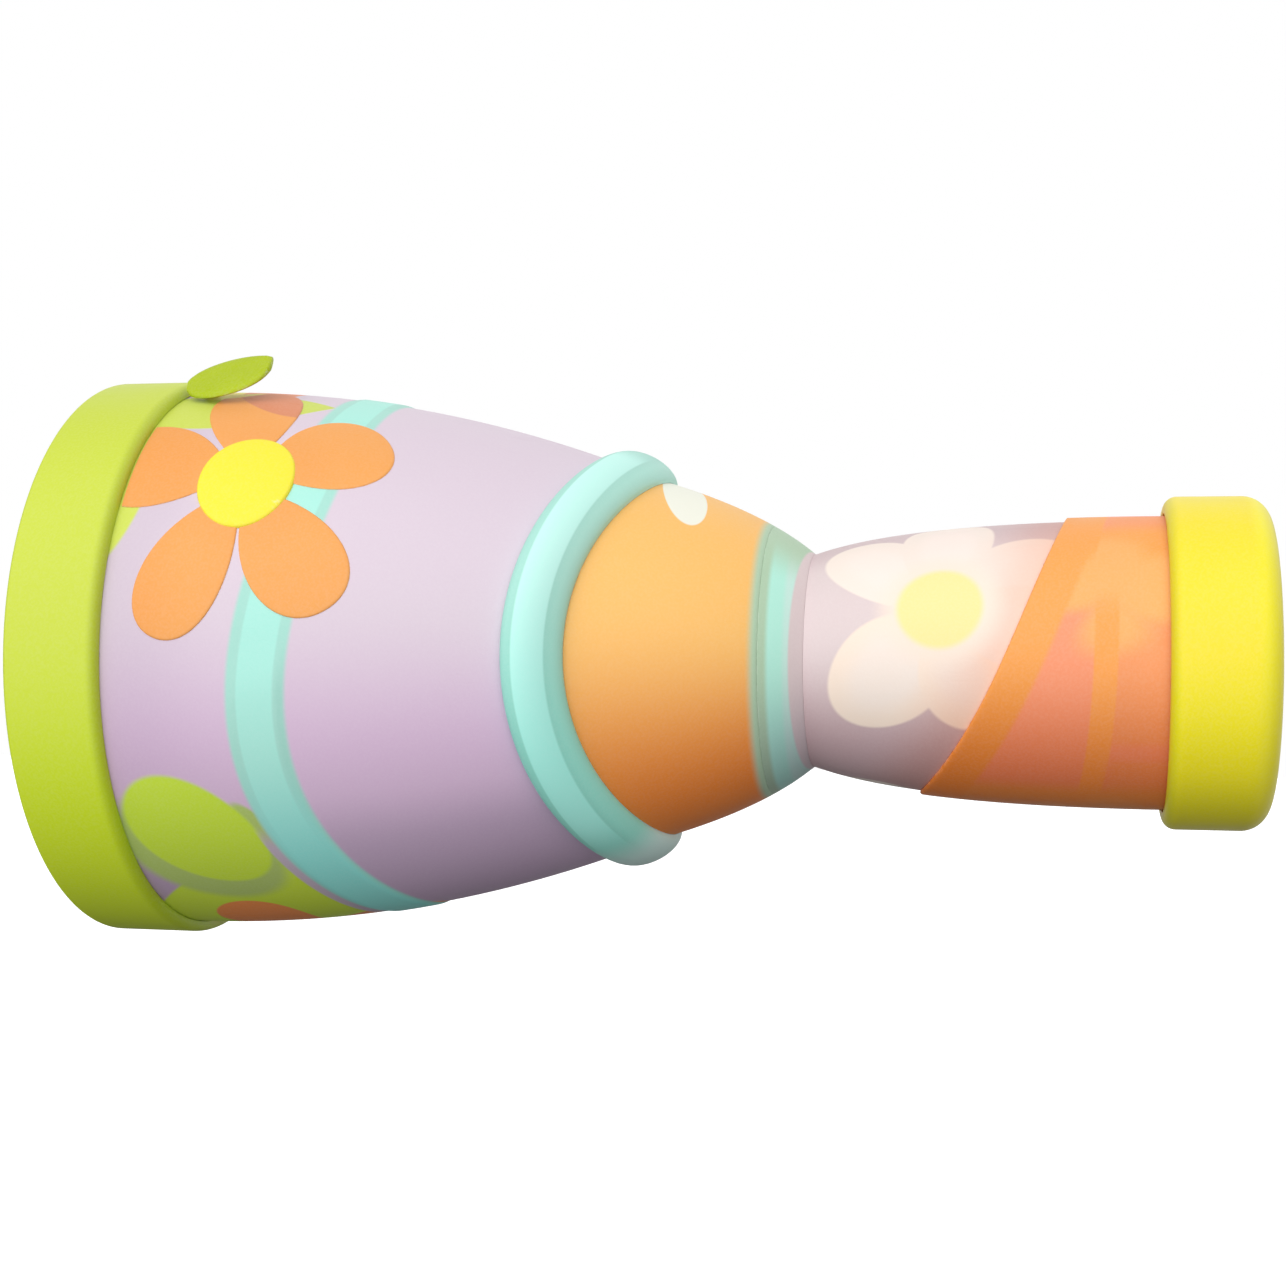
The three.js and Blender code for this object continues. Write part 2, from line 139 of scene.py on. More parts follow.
def steps(start, end, count):
    """Evenly spaced values from start to end, both included."""
    return [start + (end - start) * i / count for i in range(count + 1)]


def bezier(points, t):
    """Point of a cubic curve with four (x, y) control points."""
    a, b, c, d = points
    u = 1 - t
    return tuple(
        u**3 * a[k] + 3 * u * u * t * b[k] + 3 * u * t * t * c[k] + t**3 * d[k]
        for k in (0, 1)
    )


@functools.cache
def sampled(curve):
    """X and radius of a body curve at closely spaced stations."""
    points = [bezier(curve, i / CURVE_SAMPLES) for i in range(CURVE_SAMPLES + 1)]
    return [x for x, _ in points], [r for _, r in points]


def radius_at(curve, x):
    """Radius of a body curve at x."""
    xs, radii = sampled(curve)
    i = min(max(bisect.bisect_left(xs, x), 1), CURVE_SAMPLES)
    t = min(max((x - xs[i - 1]) / (xs[i] - xs[i - 1]), 0), 1)
    return radii[i - 1] + (radii[i] - radii[i - 1]) * t


def stations(curve, start, end, count, offset=0.0):
    """Evenly spaced (x, radius) points along a body curve."""
    return [(x, radius_at(curve, x) + offset) for x in steps(start, end, count)]


def smoothstep(x, start, end):
    t = min(max((x - start) / (end - start), 0), 1)
    return t * t * (3 - 2 * t)


def arc(x, r, radius, from_deg, to_deg, count=10):
    """Points of a round corner of an (x, radius) outline."""
    angles = [math.radians(degrees) for degrees in steps(from_deg, to_deg, count)]
    return [(x + radius * math.cos(a), r + radius * math.sin(a)) for a in angles]


def eased(points, radius, closed=True):
    """The same outline with each sharp corner rounded by about the given radius."""
    made = []
    count = len(points)
    for i, (x, r) in enumerate(points):
        if not closed and i in (0, count - 1):
            made.append((x, r))
            continue
        here = Vector((x, r))
        before = Vector(points[i - 1]) - here
        after = Vector(points[(i + 1) % count]) - here
        turn = before.angle(-after, 0)
        if turn < math.radians(25):
            made.append((x, r))
            continue
        a = here + before.normalized() * min(radius, before.length * 0.4)
        b = here + after.normalized() * min(radius, after.length * 0.4)
        for t in steps(0, 1, 3):
            point = a * (1 - t) ** 2 + here * 2 * t * (1 - t) + b * t * t
            made.append(tuple(point))
    return made


def sway(waves, angle):
    """How far an edge sways along X at an angle round the body."""
    shapes = {"SINE": math.sin, "COSINE": math.cos}
    return sum(size * shapes[shape](times * angle) for size, shape, times in waves)


# ---------------------------------------------------------------- meshes


def at(x, r, angle):
    """Point at a distance r from the axis. The angle is 0 at -Y and grows towards +Z."""
    return Vector((x, -r * math.cos(angle), r * math.sin(angle))) * MM


def make_piece(name, points, faces, material, body, nodes=()):
    """Adds a mesh that rides on a body, takes the given material and stands for some CAD nodes."""
    mesh = bpy.data.meshes.new(name)
    mesh.from_pydata(points, [], faces)
    mesh.validate()
    mesh.shade_smooth()
    mesh.set_sharp_from_angle(angle=math.radians(SHARP_DEG))
    mesh.materials.append(material)
    piece = bpy.data.objects.new(name, mesh)
    bpy.context.scene.collection.objects.link(piece)
    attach(piece, body)
    if nodes:
        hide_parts(*nodes)


def revolve(outline, segments=ROUND, place=None):
    """Turns a closed (x, radius) outline about X. Points on the axis become one vertex."""
    points, faces, rings = [], [], []
    for x, r in outline:
        if r < 1e-6:
            rings.append([len(points)])
            points.append(at(x, 0, 0))
            continue
        rings.append(list(range(len(points), len(points) + segments)))
        for k in range(segments):
            angle = 2 * math.pi * k / segments
            new_x, new_r = place(x, r, angle) if place else (x, r)
            points.append(at(new_x, new_r, angle))
    for i, ring in enumerate(rings):
        following = rings[(i + 1) % len(rings)]
        if len(ring) == 1 and len(following) == 1:
            continue
        for k in range(segments):
            n = (k + 1) % segments
            if len(ring) == 1:
                faces.append((ring[0], following[n], following[k]))
            elif len(following) == 1:
                faces.append((ring[k], ring[n], following[0]))
            else:
                faces.append((ring[k], ring[n], following[n], following[k]))
    if volume(points, faces) < 0:
        faces = [face[::-1] for face in faces]
    return points, faces


def volume(points, faces):
    """Signed volume: negative when the faces point inward."""
    total = 0.0
    for face in faces:
        for i in range(1, len(face) - 1):
            a, b, c = points[face[0]], points[face[i]], points[face[i + 1]]
            total += a.dot(b.cross(c))
    return total


def ring_outline(node, inner):
    """Outline of a plain ring, from its CAD node's ends and outer radius and from its bore."""
    start, end, outer = span(node)
    return eased([(start, inner), (start, outer), (end, outer), (end, inner)], 0.2)


def pane_outline(node, chamfer=0.2):
    """Outline of a round window with chamfered edges, from its CAD node."""
    start, end, r = span(node)
    rim = [(start, r - chamfer), (start + chamfer, r), (end - chamfer, r), (end, r - chamfer)]
    return [(start, 0), *rim, (end, 0)]


# ---------------------------------------------------------------- node helpers


class Nodes:
    """Short names for building one material's or group's node tree."""

    def __init__(self, tree):
        self.tree = tree

    def new(self, kind, **settings):
        node = self.tree.nodes.new(kind)
        for key, value in settings.items():
            setattr(node, key, value)
        return node

    def feed(self, socket, value):
        if isinstance(value, bpy.types.NodeSocket):
            self.tree.links.new(value, socket)
        else:
            socket.default_value = value

    def math(self, operation, *values, clamp=False):
        node = self.new("ShaderNodeMath", operation=operation, use_clamp=clamp)
        for socket, value in zip(node.inputs, values):
            self.feed(socket, value)
        return node.outputs[0]

    def add(self, a, b):
        return self.math("ADD", a, b)

    def sub(self, a, b):
        return self.math("SUBTRACT", a, b)

    def mul(self, a, b):
        return self.math("MULTIPLY", a, b)

    def ramp(self, value, start, end, low=0.0, high=1.0):
        """Smooth step of value from low at start to high at end."""
        node = self.new("ShaderNodeMapRange", interpolation_type="SMOOTHSTEP")
        for socket, number in zip(node.inputs, (value, start, end, low, high)):
            self.feed(socket, number)
        return node.outputs[0]

    def mix(self, factor, a, b, blend="MIX"):
        node = self.new("ShaderNodeMix", data_type="RGBA", blend_type=blend)
        self.feed(node.inputs["Factor"], factor)
        self.feed(node.inputs[6], a)
        self.feed(node.inputs[7], b)
        return node.outputs[2]

    def noise(self, where, scale, detail=3.0, distortion=0.0):
        node = self.new("ShaderNodeTexNoise")
        self.feed(node.inputs["Vector"], where)
        node.inputs["Scale"].default_value = scale
        node.inputs["Detail"].default_value = detail
        node.inputs["Distortion"].default_value = distortion
        return node.outputs[0]

    def group(self, tree, **values):
        node = self.new("ShaderNodeGroup", node_tree=tree)
        for key, value in values.items():
            self.feed(node.inputs[key], value)
        return node.outputs[0]


def new_group(name, inputs, output):
    """Empty node group of numbers: its nodes, its inputs and its one output."""
    tree = bpy.data.node_groups.new(name, "ShaderNodeTree")
    for label in inputs:
        tree.interface.new_socket(label, in_out="INPUT", socket_type="NodeSocketFloat")
    tree.interface.new_socket(output, in_out="OUTPUT", socket_type="NodeSocketFloat")
    nodes = Nodes(tree)
    source = nodes.new("NodeGroupInput")
    sink = nodes.new("NodeGroupOutput")
    return nodes, source.outputs, sink.inputs[0]


def turned(n, given):
    """A group's X and Around, as distances along and across its Turn."""
    cosine = n.math("COSINE", given["Turn"])
    sine = n.math("SINE", given["Turn"])
    along = n.add(n.mul(given["X"], cosine), n.mul(given["Around"], sine))
    across = n.sub(n.mul(given["Around"], cosine), n.mul(given["X"], sine))
    return along, across


def petal_group():
    """Mask of one painted petal: an egg whose wide end is the tip.

    X and Around are millimetres from the flower's middle, Turn is in radians from +X, and
    the petal runs from Root to Length. Fullness is how much wider the tip half is.
    """
    labels = ["X", "Around", "Turn", "Root", "Length", "Width", "Fullness", "Soft"]
    n, given, out = new_group("painted_petal", labels, "Mask")
    along, across = turned(n, given)
    middle = n.mul(n.add(given["Root"], given["Length"]), 0.5)
    half = n.mul(n.sub(given["Length"], given["Root"]), 0.5)
    t = n.math("DIVIDE", n.sub(along, middle), half)
    width = n.mul(given["Width"], n.mul(n.math("MULTIPLY_ADD", t, given["Fullness"], 1.0), 0.5))
    side = n.math("DIVIDE", across, n.math("MAXIMUM", width, 0.01))
    reach = n.math("SQRT", n.add(n.mul(t, t), n.mul(side, side)))
    soft = n.math("DIVIDE", given["Soft"], half)
    n.feed(out, n.ramp(reach, n.add(1.0, soft), n.sub(1.0, soft)))
    return n.tree


def leaf_group():
    """Mask of one painted leaf, pointed at both ends, centred on X and Around."""
    labels = ["X", "Around", "Turn", "Length", "Width", "Soft"]
    n, given, out = new_group("painted_leaf", labels, "Mask")
    along, across = turned(n, given)
    t = n.math("DIVIDE", along, n.mul(given["Length"], 0.5))
    edge = n.mul(n.mul(given["Width"], 0.5), n.sub(1.0, n.mul(t, t)))
    inside = n.sub(edge, n.math("ABSOLUTE", across))
    n.feed(out, n.ramp(inside, n.mul(given["Soft"], -1.0), given["Soft"]))
    return n.tree


PETAL = petal_group()
LEAF = leaf_group()


class Surface(Nodes):
    """A painted or moulded plastic: colour layers, then grain, wear and a satin shader."""

    def __init__(self, name, base):
        self.material = bpy.data.materials.new(name)
        self.material.use_nodes = True
        super().__init__(self.material.node_tree)
        self.shader = self.tree.nodes["Principled BSDF"]
        place = self.new("ShaderNodeTexCoord").outputs["Object"]
        self.place = place
        split = self.new("ShaderNodeSeparateXYZ")
        self.feed(split.inputs[0], place)
        self.x = self.math("DIVIDE", split.outputs[0], MM)
        self.angle = self.math("ARCTAN2", split.outputs[2], self.mul(split.outputs[1], -1.0))
        self.colour = base

    @functools.cached_property
    def sine(self):
        """1 along the top of the body and -1 along its underside."""
        return self.math("SINE", self.angle)

    def lay(self, mask, tint, blend="MIX"):
        """Adds a colour layer where the mask is 1."""
        self.colour = self.mix(mask, self.colour, tint, blend)

    def from_centre(self, x, angle_deg, radius):
        """Millimetres along X and round the body from a point on it."""
        offset = self.math("WRAP", self.sub(self.angle, math.radians(angle_deg)), math.pi, -math.pi)
        return self.sub(self.x, x), self.mul(offset, radius)

    def behind(self, x, waves):
        """Millimetres along X behind a swaying edge."""
        edge = self.sub(self.x, x)
        for size, shape, times in waves:
            edge = self.sub(edge, self.mul(self.math(shape, self.mul(self.angle, float(times))), size))
        return edge

    def petal(self, centre, turn_deg, root, length, width, tint, fullness=0.3, soft=0.25):
        x, around = centre
        mask = self.group(
            PETAL, X=x, Around=around, Turn=math.radians(turn_deg), Root=root, Length=length,
            Width=width, Fullness=fullness, Soft=soft,
        )
        self.lay(mask, tint)

    def leaf(self, x, angle_deg, radius, turn_deg, length, width, tint, soft=0.25):
        dx, around = self.from_centre(x, angle_deg, radius)
        mask = self.group(
            LEAF, X=dx, Around=around, Turn=math.radians(turn_deg), Length=length, Width=width, Soft=soft
        )
        self.lay(mask, tint)

    def spot(self, centre, half_x, half_around, tint, soft=0.25):
        x, around = centre
        side = self.mul(around, half_x / half_around)
        reach = self.math("SQRT", self.add(self.mul(x, x), self.mul(side, side)))
        self.lay(self.ramp(reach, half_x + soft, half_x - soft), tint)

    def flower(self, x, angle_deg, radius, petals, tint, centre_tint, eye=4.0, soft=0.25):
        """Painted flower: petals are (turn, length, width) in degrees and millimetres."""
        centre = self.from_centre(x, angle_deg, radius)
        for turn, length, width in petals:
            self.petal(centre, turn, eye * 0.5, length, width, tint, soft=soft)
        self.spot(centre, eye, eye * 1.05, centre_tint, soft)

    def satin(self, roughness=0.5, wear_tint=WORN, specular=0.35):
        """Grain, faint mottling, worn edges and a fine moulded texture over the colour layers."""
        cloud = self.noise(self.place, 55, 4, 0.4)
        self.lay(self.ramp(cloud, 0.3, 0.75, 0.0, MOTTLE * 4), MOTTLE_TINT, "SOFT_LIGHT")
        fine = self.noise(self.place, 2600, 2)
        self.lay(self.ramp(fine, 0.35, 0.7, 0.0, MOTTLE), (1, 1, 1, 1))
        bent = self.new("ShaderNodeNewGeometry").outputs["Pointiness"]
        scuffs = self.noise(self.place, 420, 5, 1.2)
        edge = self.mul(self.ramp(bent, 0.53, 0.6), self.ramp(scuffs, 0.46, 0.62))
        self.lay(self.mul(edge, WEAR), wear_tint)
        hairline = self.new("ShaderNodeTexNoise")
        stretch = self.new("ShaderNodeMapping")
        stretch.inputs["Scale"].default_value = (60, 900, 900)
        stretch.inputs["Rotation"].default_value = (0.3, 0.5, 0.2)
        self.feed(stretch.inputs["Vector"], self.place)
        self.feed(hairline.inputs["Vector"], stretch.outputs[0])
        hairline.inputs["Scale"].default_value = 1.0
        scratch = self.ramp(hairline.outputs[0], 0.64, 0.72)
        rough = self.ramp(cloud, 0.25, 0.8, roughness - 0.05, roughness + 0.06)
        rough = self.add(rough, self.mul(scratch, 0.12))
        self.feed(self.shader.inputs["Roughness"], self.add(rough, self.mul(edge, 0.1)))
        self.shader.inputs["Specular IOR Level"].default_value = specular
        height = self.add(self.mul(fine, GRAIN), self.mul(scratch, -GRAIN * 0.5))
        self.bump(self.add(height, self.mul(self.noise(self.place, 700, 3), GRAIN * 1.6)))
        self.feed(self.shader.inputs["Base Color"], self.colour)
        return self.material

    def bump(self, height, strength=0.35):
        node = self.new("ShaderNodeBump")
        node.inputs["Strength"].default_value = strength
        node.inputs["Distance"].default_value = MM * 0.4
        self.feed(node.inputs["Height"], height)
        self.feed(self.shader.inputs["Normal"], node.outputs[0])

    def underside(self, tint, start_deg, end_deg, blend="MULTIPLY"):
        """Painted shade towards the underside of the body, between two angles round it."""
        start, end = math.sin(math.radians(start_deg)), math.sin(math.radians(end_deg))
        self.lay(self.ramp(self.sine, start, end), tint, blend)


# ---------------------------------------------------------------- colours

LIME = (0.597, 0.705, 0.052, 1)
# Lime in painted shade, for the rim's underside.
LIME_SHADED = (0.64, 0.81, 0.018, 1)
LIME_WORN = (0.9, 0.95, 0.6, 1)
LAVENDER = (0.72, 0.61, 0.7, 1)
# Darker lavender, a painted shadow in front of the stripe.
STRIPE_PAINTED_SHADOW = (0.56, 0.47, 0.56, 1)
# Lighter mint, the painted highlight along the stripe's middle.
MINT_STRIPE_HIGHLIGHT = (0.42, 0.85, 0.737, 1)
MINT_EDGE = (0.39, 0.74, 0.64, 1)
# Pale mint, the painted highlight along the band's middle.
MINT_BAND_HIGHLIGHT = (0.57, 0.96, 0.87, 1)
# Deeper mint, the stripe in painted shade underneath.
MINT_SHADED = (0.31, 0.85, 0.78, 1)
# Lighter mint, painted light on the band's rear side.
MINT_REAR_LIGHT = (0.47, 0.84, 0.73, 1)
# Pale mint, painted light along the band's lowest edge.
MINT_LOW_LIGHT = (0.72, 0.98, 0.92, 1)
MINT_NECK = (0.47, 0.87, 0.73, 1)
MINT_NECK_REAR = (0.58, 0.84, 0.75, 1)
ORANGE = (0.9, 0.385, 0.095, 1)
ORANGE_DEEP = (0.88, 0.37, 0.09, 1)
CONE_ORANGE = (0.97, 0.535, 0.145, 1)
RUST = (0.8, 0.27, 0.12, 1)
RUSSET = (0.95, 0.3, 0.075, 1)
CORAL = (0.94, 0.32, 0.16, 1)
CORAL_PANEL = (0.92, 0.33, 0.12, 1)
SLEEVE_BAND = (0.92, 0.37, 0.082, 1)
SLEEVE_BLOSSOM = (0.93, 0.43, 0.13, 1)
SLEEVE_STEM = (0.95, 0.37, 0.08, 1)
LILAC = (0.725, 0.605, 0.605, 1)
CREAM = (0.9, 0.78, 0.7, 1)
WHITE = (0.9, 0.9, 0.78, 1)
WARM_WHITE = (0.93, 0.8, 0.73, 1)
ROSY = (0.93, 0.77, 0.65, 1)
YELLOW = (0.91, 0.75, 0.022, 1)
# Yellow in painted shade, for the cap's underside.
YELLOW_SHADED = (0.95, 0.83, 0.012, 1)
YELLOW_END = (0.97, 0.87, 0.03, 1)
DISC_YELLOW = (0.93, 0.82, 0.036, 1)
PALE_YELLOW = (0.92, 0.83, 0.35, 1)
GRIP_EYE = (0.92, 0.79, 0.33, 1)
PATCH_YELLOW = (0.95, 0.82, 0.2, 1)
PATCH_AMBER = (0.95, 0.78, 0.2, 1)
PATCH_CORAL = (0.74, 0.26, 0.12, 1)
SAGE = (0.45, 0.63, 0.44, 1)
LEAF_LIME = (0.62, 0.72, 0.09, 1)
DEEP_LIME = (0.6, 0.8, 0.05, 1)
OLIVE = (0.62, 0.8, 0.045, 1)
MOSS = (0.46, 0.6, 0.16, 1)
LEAF_TAB = (0.42, 0.53, 0.008, 1)
LEAF_VEIN = (0.47, 0.58, 0.02, 1)
CLEAR = (0.93, 0.97, 0.98, 1)
FROSTED = (0.97, 0.97, 0.96, 1)
HAZE = (0.86, 0.87, 0.88, 1)
SILVER = (0.86, 0.88, 0.9, 1)
SILVER_HAZE = (0.7, 0.74, 0.78, 1)

# Tints that multiply the colour under them. All are painted shade, except the grip's tint next to the sleeve,
# which is a painted reflection of the sleeve's orange.
SHELL_RIM_SHADE_TINT = (0.89, 0.88, 0.9, 1)
SHELL_FLANK_SHADE_TINT = (1, 0.85, 1.02, 1)
SHELL_LOW_SHADE_TINT = (0.82, 0.84, 0.85, 1)
CONE_LOW_SHADE_TINT = (1, 0.5, 0.28, 1)
BAND_LOW_SHADE_TINT = (0.74, 1, 0.97, 1)
NECK_LOW_SHADE_TINT = (0.85, 0.85, 0.9, 1)
GRIP_TOP_SHADE_TINT = (0.88, 0.83, 0.85, 1)
GRIP_LOW_SHADE_TINT = (0.79, 0.66, 0.7, 1)
GRIP_SLEEVE_REFLECTION_TINT = (0.97, 0.76, 0.68, 1)
SLEEVE_BAND_SHADE_TINT = (1, 0.93, 0.72, 1)
SLEEVE_LOW_SHADE_TINT = (0.92, 0.65, 0.48, 1)
RIM_REAR_SHADE_TINT = (0.9, 0.91, 0.78, 1)
CAP_LOW_SHADE_TINT = (0.87, 0.9, 0.75, 1)
CAP_FRONT_SHADE_TINT = (0.92, 0.97, 0.7, 1)
PETAL_RIM_SHADE_TINT = (0.97, 0.91, 0.83, 1)

# ---------------------------------------------------------------- materials

# Petals are (turn in degrees from +X, length, widest width), in millimetres. These are the raised flower's.
PETALS = ((33, 23.2, 17.5), (103, 31, 14), (169.5, 26, 17.5), (248.5, 28.8, 12.6), (305, 27, 14.5))


def five(first_deg, length, width):
    """Five even petals of a painted flower."""
    return [(first_deg + 72 * k, length, width) for k in range(5)]


def shell_material():
    """Airbrushed lavender with painted leaves and flowers and the winding mint stripe."""
    s = Surface("lavender_shell", LAVENDER)
    r = FLOWER_R
    # Painted shade: the lavender darkens towards the rim.
    s.lay(s.ramp(s.x, 36, 17), SHELL_RIM_SHADE_TINT, "MULTIPLY")
    # Painted shade: the lavender turns deeper towards the underside, in two steps.
    s.underside(SHELL_FLANK_SHADE_TINT, 12, -22)
    s.underside(SHELL_LOW_SHADE_TINT, -28, -46)
    # Lime leaves behind the raised flower and along the underside.
    s.leaf(24, 64, r, 12, 36, 16, LEAF_LIME)
    s.spot(s.from_centre(10.5, 40, r), 8.8, 18.5, LEAF_LIME, 0.3)
    s.spot(s.from_centre(PATCH_X, PATCH_ANGLE, r), 7.4, 8.2, PATCH_YELLOW, 0.3)
    s.petal(s.from_centre(28, -77, r), 60, -27, 27, 35, OLIVE, 0, 0.5)
    s.petal(s.from_centre(26.5, -43, r), -46, -14.5, 14, 21, MOSS, 0, 1.6)
    s.petal(s.from_centre(37, -37.5, r), -58, -6.5, 7, 4.5, MOSS, 0, 0.9)
    s.petal(s.from_centre(26.8, -38.2, r), -48, -12.9, 12.5, 17.5, DEEP_LIME, 0, 0.6)
    shell_back_flowers(s, r)
    # Painted shadow: low down, a darker strip runs in front of the stripe. The stripe gets a painted
    # highlight along its middle and deeper painted shade on its lower part.
    past = s.behind(STRIPE_X, STRIPE_WAVES)
    shadow_strip = s.mul(s.ramp(past, -6.4, -5.9), s.ramp(past, 1.0, 0.0))
    s.lay(s.mul(shadow_strip, s.ramp(s.sine, -0.58, -0.68)), STRIPE_PAINTED_SHADOW)
    off = s.math("ABSOLUTE", past)
    s.lay(s.ramp(off, STRIPE_HALF + 0.6, STRIPE_HALF - 0.3), MINT_EDGE)
    # Painted highlight along the stripe's middle.
    s.lay(s.ramp(off, 3.0, 2.5), MINT_STRIPE_HIGHLIGHT)
    # Painted shade: the stripe turns to a deeper, more saturated mint on the underside.
    low = s.mul(s.ramp(off, STRIPE_HALF + 0.6, STRIPE_HALF - 1), s.ramp(s.sine, -0.3, -0.8))
    s.lay(low, MINT_SHADED)
    return s.satin()


def shell_back_flowers(s, r):
    """Painted flowers and leaves on the top, the back and the underside of the shell."""
    s.leaf(66, 118, 38, 30, 30, 12, LEAF_LIME)
    s.flower(76, 116, 36, five(18, 18, 12), ORANGE, YELLOW, 4.5)
    top = [(-88, 34, 9.5), (-18, 27, 14), (54, 25, 14), (126, 25, 14), (198, 26, 15)]
    s.flower(27, 112, r, top, RUST, YELLOW, 6.5)
    s.leaf(52, 158, r, -30, 34, 14, LEAF_LIME)
    s.flower(34, 170, r, five(20, 27, 16), ORANGE, YELLOW, 7.5)
    s.flower(66, 185, 39, five(90, 20, 14), WHITE, YELLOW, 5)
    s.leaf(24, -138, r, 40, 34, 15, DEEP_LIME)
    low = [(101, 29, 14), (173, 25, 14), (245, 25, 14), (317, 25, 14), (32, 28, 14)]
    s.flower(33, -98, r, low, RUSSET, YELLOW, 6.5)
    s.flower(66, -125, 39, five(18, 15, 11), CREAM, PALE_YELLOW, 4)


def cone_material():
    """Orange with painted shade that deepens it underneath, painted blossoms and a sage edge at the neck."""
    s = Surface("orange_cone", CONE_ORANGE)
    # Painted shade towards the underside.
    s.underside(CONE_LOW_SHADE_TINT, 15, -60)
    blossom = [(-76, 28.4, 6.6), (-4, 14, 9), (68, 14, 9), (140, 11, 8), (212, 11, 8)]
    s.flower(93.6, 112, 26, blossom, WHITE, YELLOW, 4)
    s.flower(97, 205, 27, five(30, 13, 9), CREAM, PALE_YELLOW, 3.5)
    s.lay(s.ramp(s.x, 109.9, 111.4), SAGE)
    return s.satin(0.52)


def band_material():
    """Mint tube with a painted highlight along its middle that dies out over the top and below, painted light
    on its rear side and along its lowest edge, and painted shade underneath.
    """
    s = Surface("mint_band", MINT_EDGE)
    off = s.behind(SEAM_X - 0.15, SEAM_WAVES)
    band_highlight = s.ramp(s.math("ABSOLUTE", off), 2.45, 2.1)
    ends = s.mul(s.ramp(s.sine, 1.0, 0.93), s.ramp(s.sine, -0.95, -0.7))
    # Painted light on the band's rear side.
    s.lay(s.ramp(off, 1.9, 3.6), MINT_REAR_LIGHT)
    # Painted highlight along the band's middle, dying out over the top and below.
    s.lay(s.mul(band_highlight, ends), MINT_BAND_HIGHLIGHT)
    # Painted shade towards the underside.
    s.underside(BAND_LOW_SHADE_TINT, 30, -30)
    # Painted light along the band's lowest edge.
    s.lay(s.ramp(s.sine, -0.84, -0.97), MINT_LOW_LIGHT)
    return s.satin()


def neck_material():
    """Mint ring: it starts out tinged by the cone, brightens, and the grip's lilac laps its rear."""
    s = Surface("mint_neck", SAGE)
    s.lay(s.ramp(s.x, NECK_RING_X + 0.8, NECK_RING_X + 1.7), MINT_NECK)
    s.lay(s.ramp(s.x, NECK_X - 3.4, NECK_X - 2.4), MINT_NECK_REAR)
    s.lay(s.ramp(s.sine, 0.6, 0.95), SAGE)
    lap = s.mul(s.math("COSINE", s.angle), 1.9)
    s.lay(s.ramp(s.add(s.x, lap), NECK_X - 0.4, NECK_X), LILAC)
    # Painted shade towards the underside.
    s.underside(NECK_LOW_SHADE_TINT, 0, -60)
    return s.satin()


def grip_material():
    """Lilac with a big pale flower in front and two more at the back, painted shade on its top and underside,
    and a painted reflection of the orange sleeve that makes it rosier next to the sleeve.
    """
    s = Surface("lilac_grip", LILAC)
    # Painted shade along the top.
    s.lay(s.ramp(s.sine, 0.75, 0.97), GRIP_TOP_SHADE_TINT, "MULTIPLY")
    # Painted shade towards the underside.
    s.underside(GRIP_LOW_SHADE_TINT, 12, -55)
    flower_x, r = 139.3, 22
    centre = s.from_centre(flower_x, 21, r)
    for turn, length, width, full in ((232, 23.8, 16.8, -0.12), (289, 19.8, 13.4, 0.1)):
        s.petal(centre, turn, 2.5, length, width, ROSY, full, 0.4)
        s.petal(centre, turn, 4.5, length - 3.5, width - 6, CREAM, full, 3)
    for turn, length, width in ((133, 24, 13.6), (87, 25, 14), (28, 23, 15), (348, 20, 13)):
        s.petal(centre, turn, 2.5, length, width, CREAM, 0.15, 0.4)
        s.petal(centre, turn, 5, length - 3, width - 6, WARM_WHITE, 0.15, 3)
    # Painted reflection: the lilac and the petals turn peachy next to the orange sleeve.
    s.lay(s.ramp(s.behind(WRAP_X, WRAP_WAVES), -13, 0), GRIP_SLEEVE_REFLECTION_TINT, "MULTIPLY")
    eye = s.from_centre(flower_x, 23, r)
    s.spot(eye, 8.6, 9, ROSY, 2.5)
    s.spot(eye, 6.5, 6.8, GRIP_EYE, 0.7)
    for x, angle, turn in ((138, 150, 10), (134, -118, 46)):
        s.flower(x, angle, r, five(turn, 18, 12), CREAM, PALE_YELLOW, 5.2, 0.5)
    return s.satin()


def wrap_material():
    """Sleeve print: an orange band along the slanted edge, faint blossoms on stems, coral panels."""
    s = Surface("coral_sleeve", CORAL)
    for centre_deg in (24, 144, 264):
        x, around = s.from_centre(164, centre_deg, 22.5)
        near = s.ramp(s.math("ABSOLUTE", around), 23, 21)
        s.lay(s.mul(s.ramp(x, -1.2, 1.5), near), CORAL_PANEL)
        s.lay(s.mul(s.ramp(around, -3, 2), s.ramp(around, 18, 13)), SLEEVE_BAND)
        for turn, length, width in ((150, 13, 11), (85, 12, 9), (15, 14, 11), (280, 8, 9)):
            s.petal((x, around), turn, 0.5, length, width, SLEEVE_BLOSSOM, soft=2.0)
        upright = s.add(x, s.mul(s.mul(around, around), 0.0022))
        line = s.mul(s.ramp(s.math("ABSOLUTE", upright), 2.0, 1.5), s.ramp(around, 2, -3))
        s.lay(s.mul(line, s.ramp(around, -42, -36)), SLEEVE_STEM)
    along_edge = s.ramp(s.behind(WRAP_X, WRAP_WAVES), 6.8, 5.6)
    s.lay(along_edge, SLEEVE_BAND)
    # Painted shade: the orange band along the edge turns deeper towards the underside.
    s.lay(s.mul(along_edge, s.ramp(s.sine, 0.2, -0.35)), SLEEVE_BAND_SHADE_TINT, "MULTIPLY")
    # Painted shade towards the underside of the sleeve.
    s.underside(SLEEVE_LOW_SHADE_TINT, 5, -58)
    return s.satin(0.52)


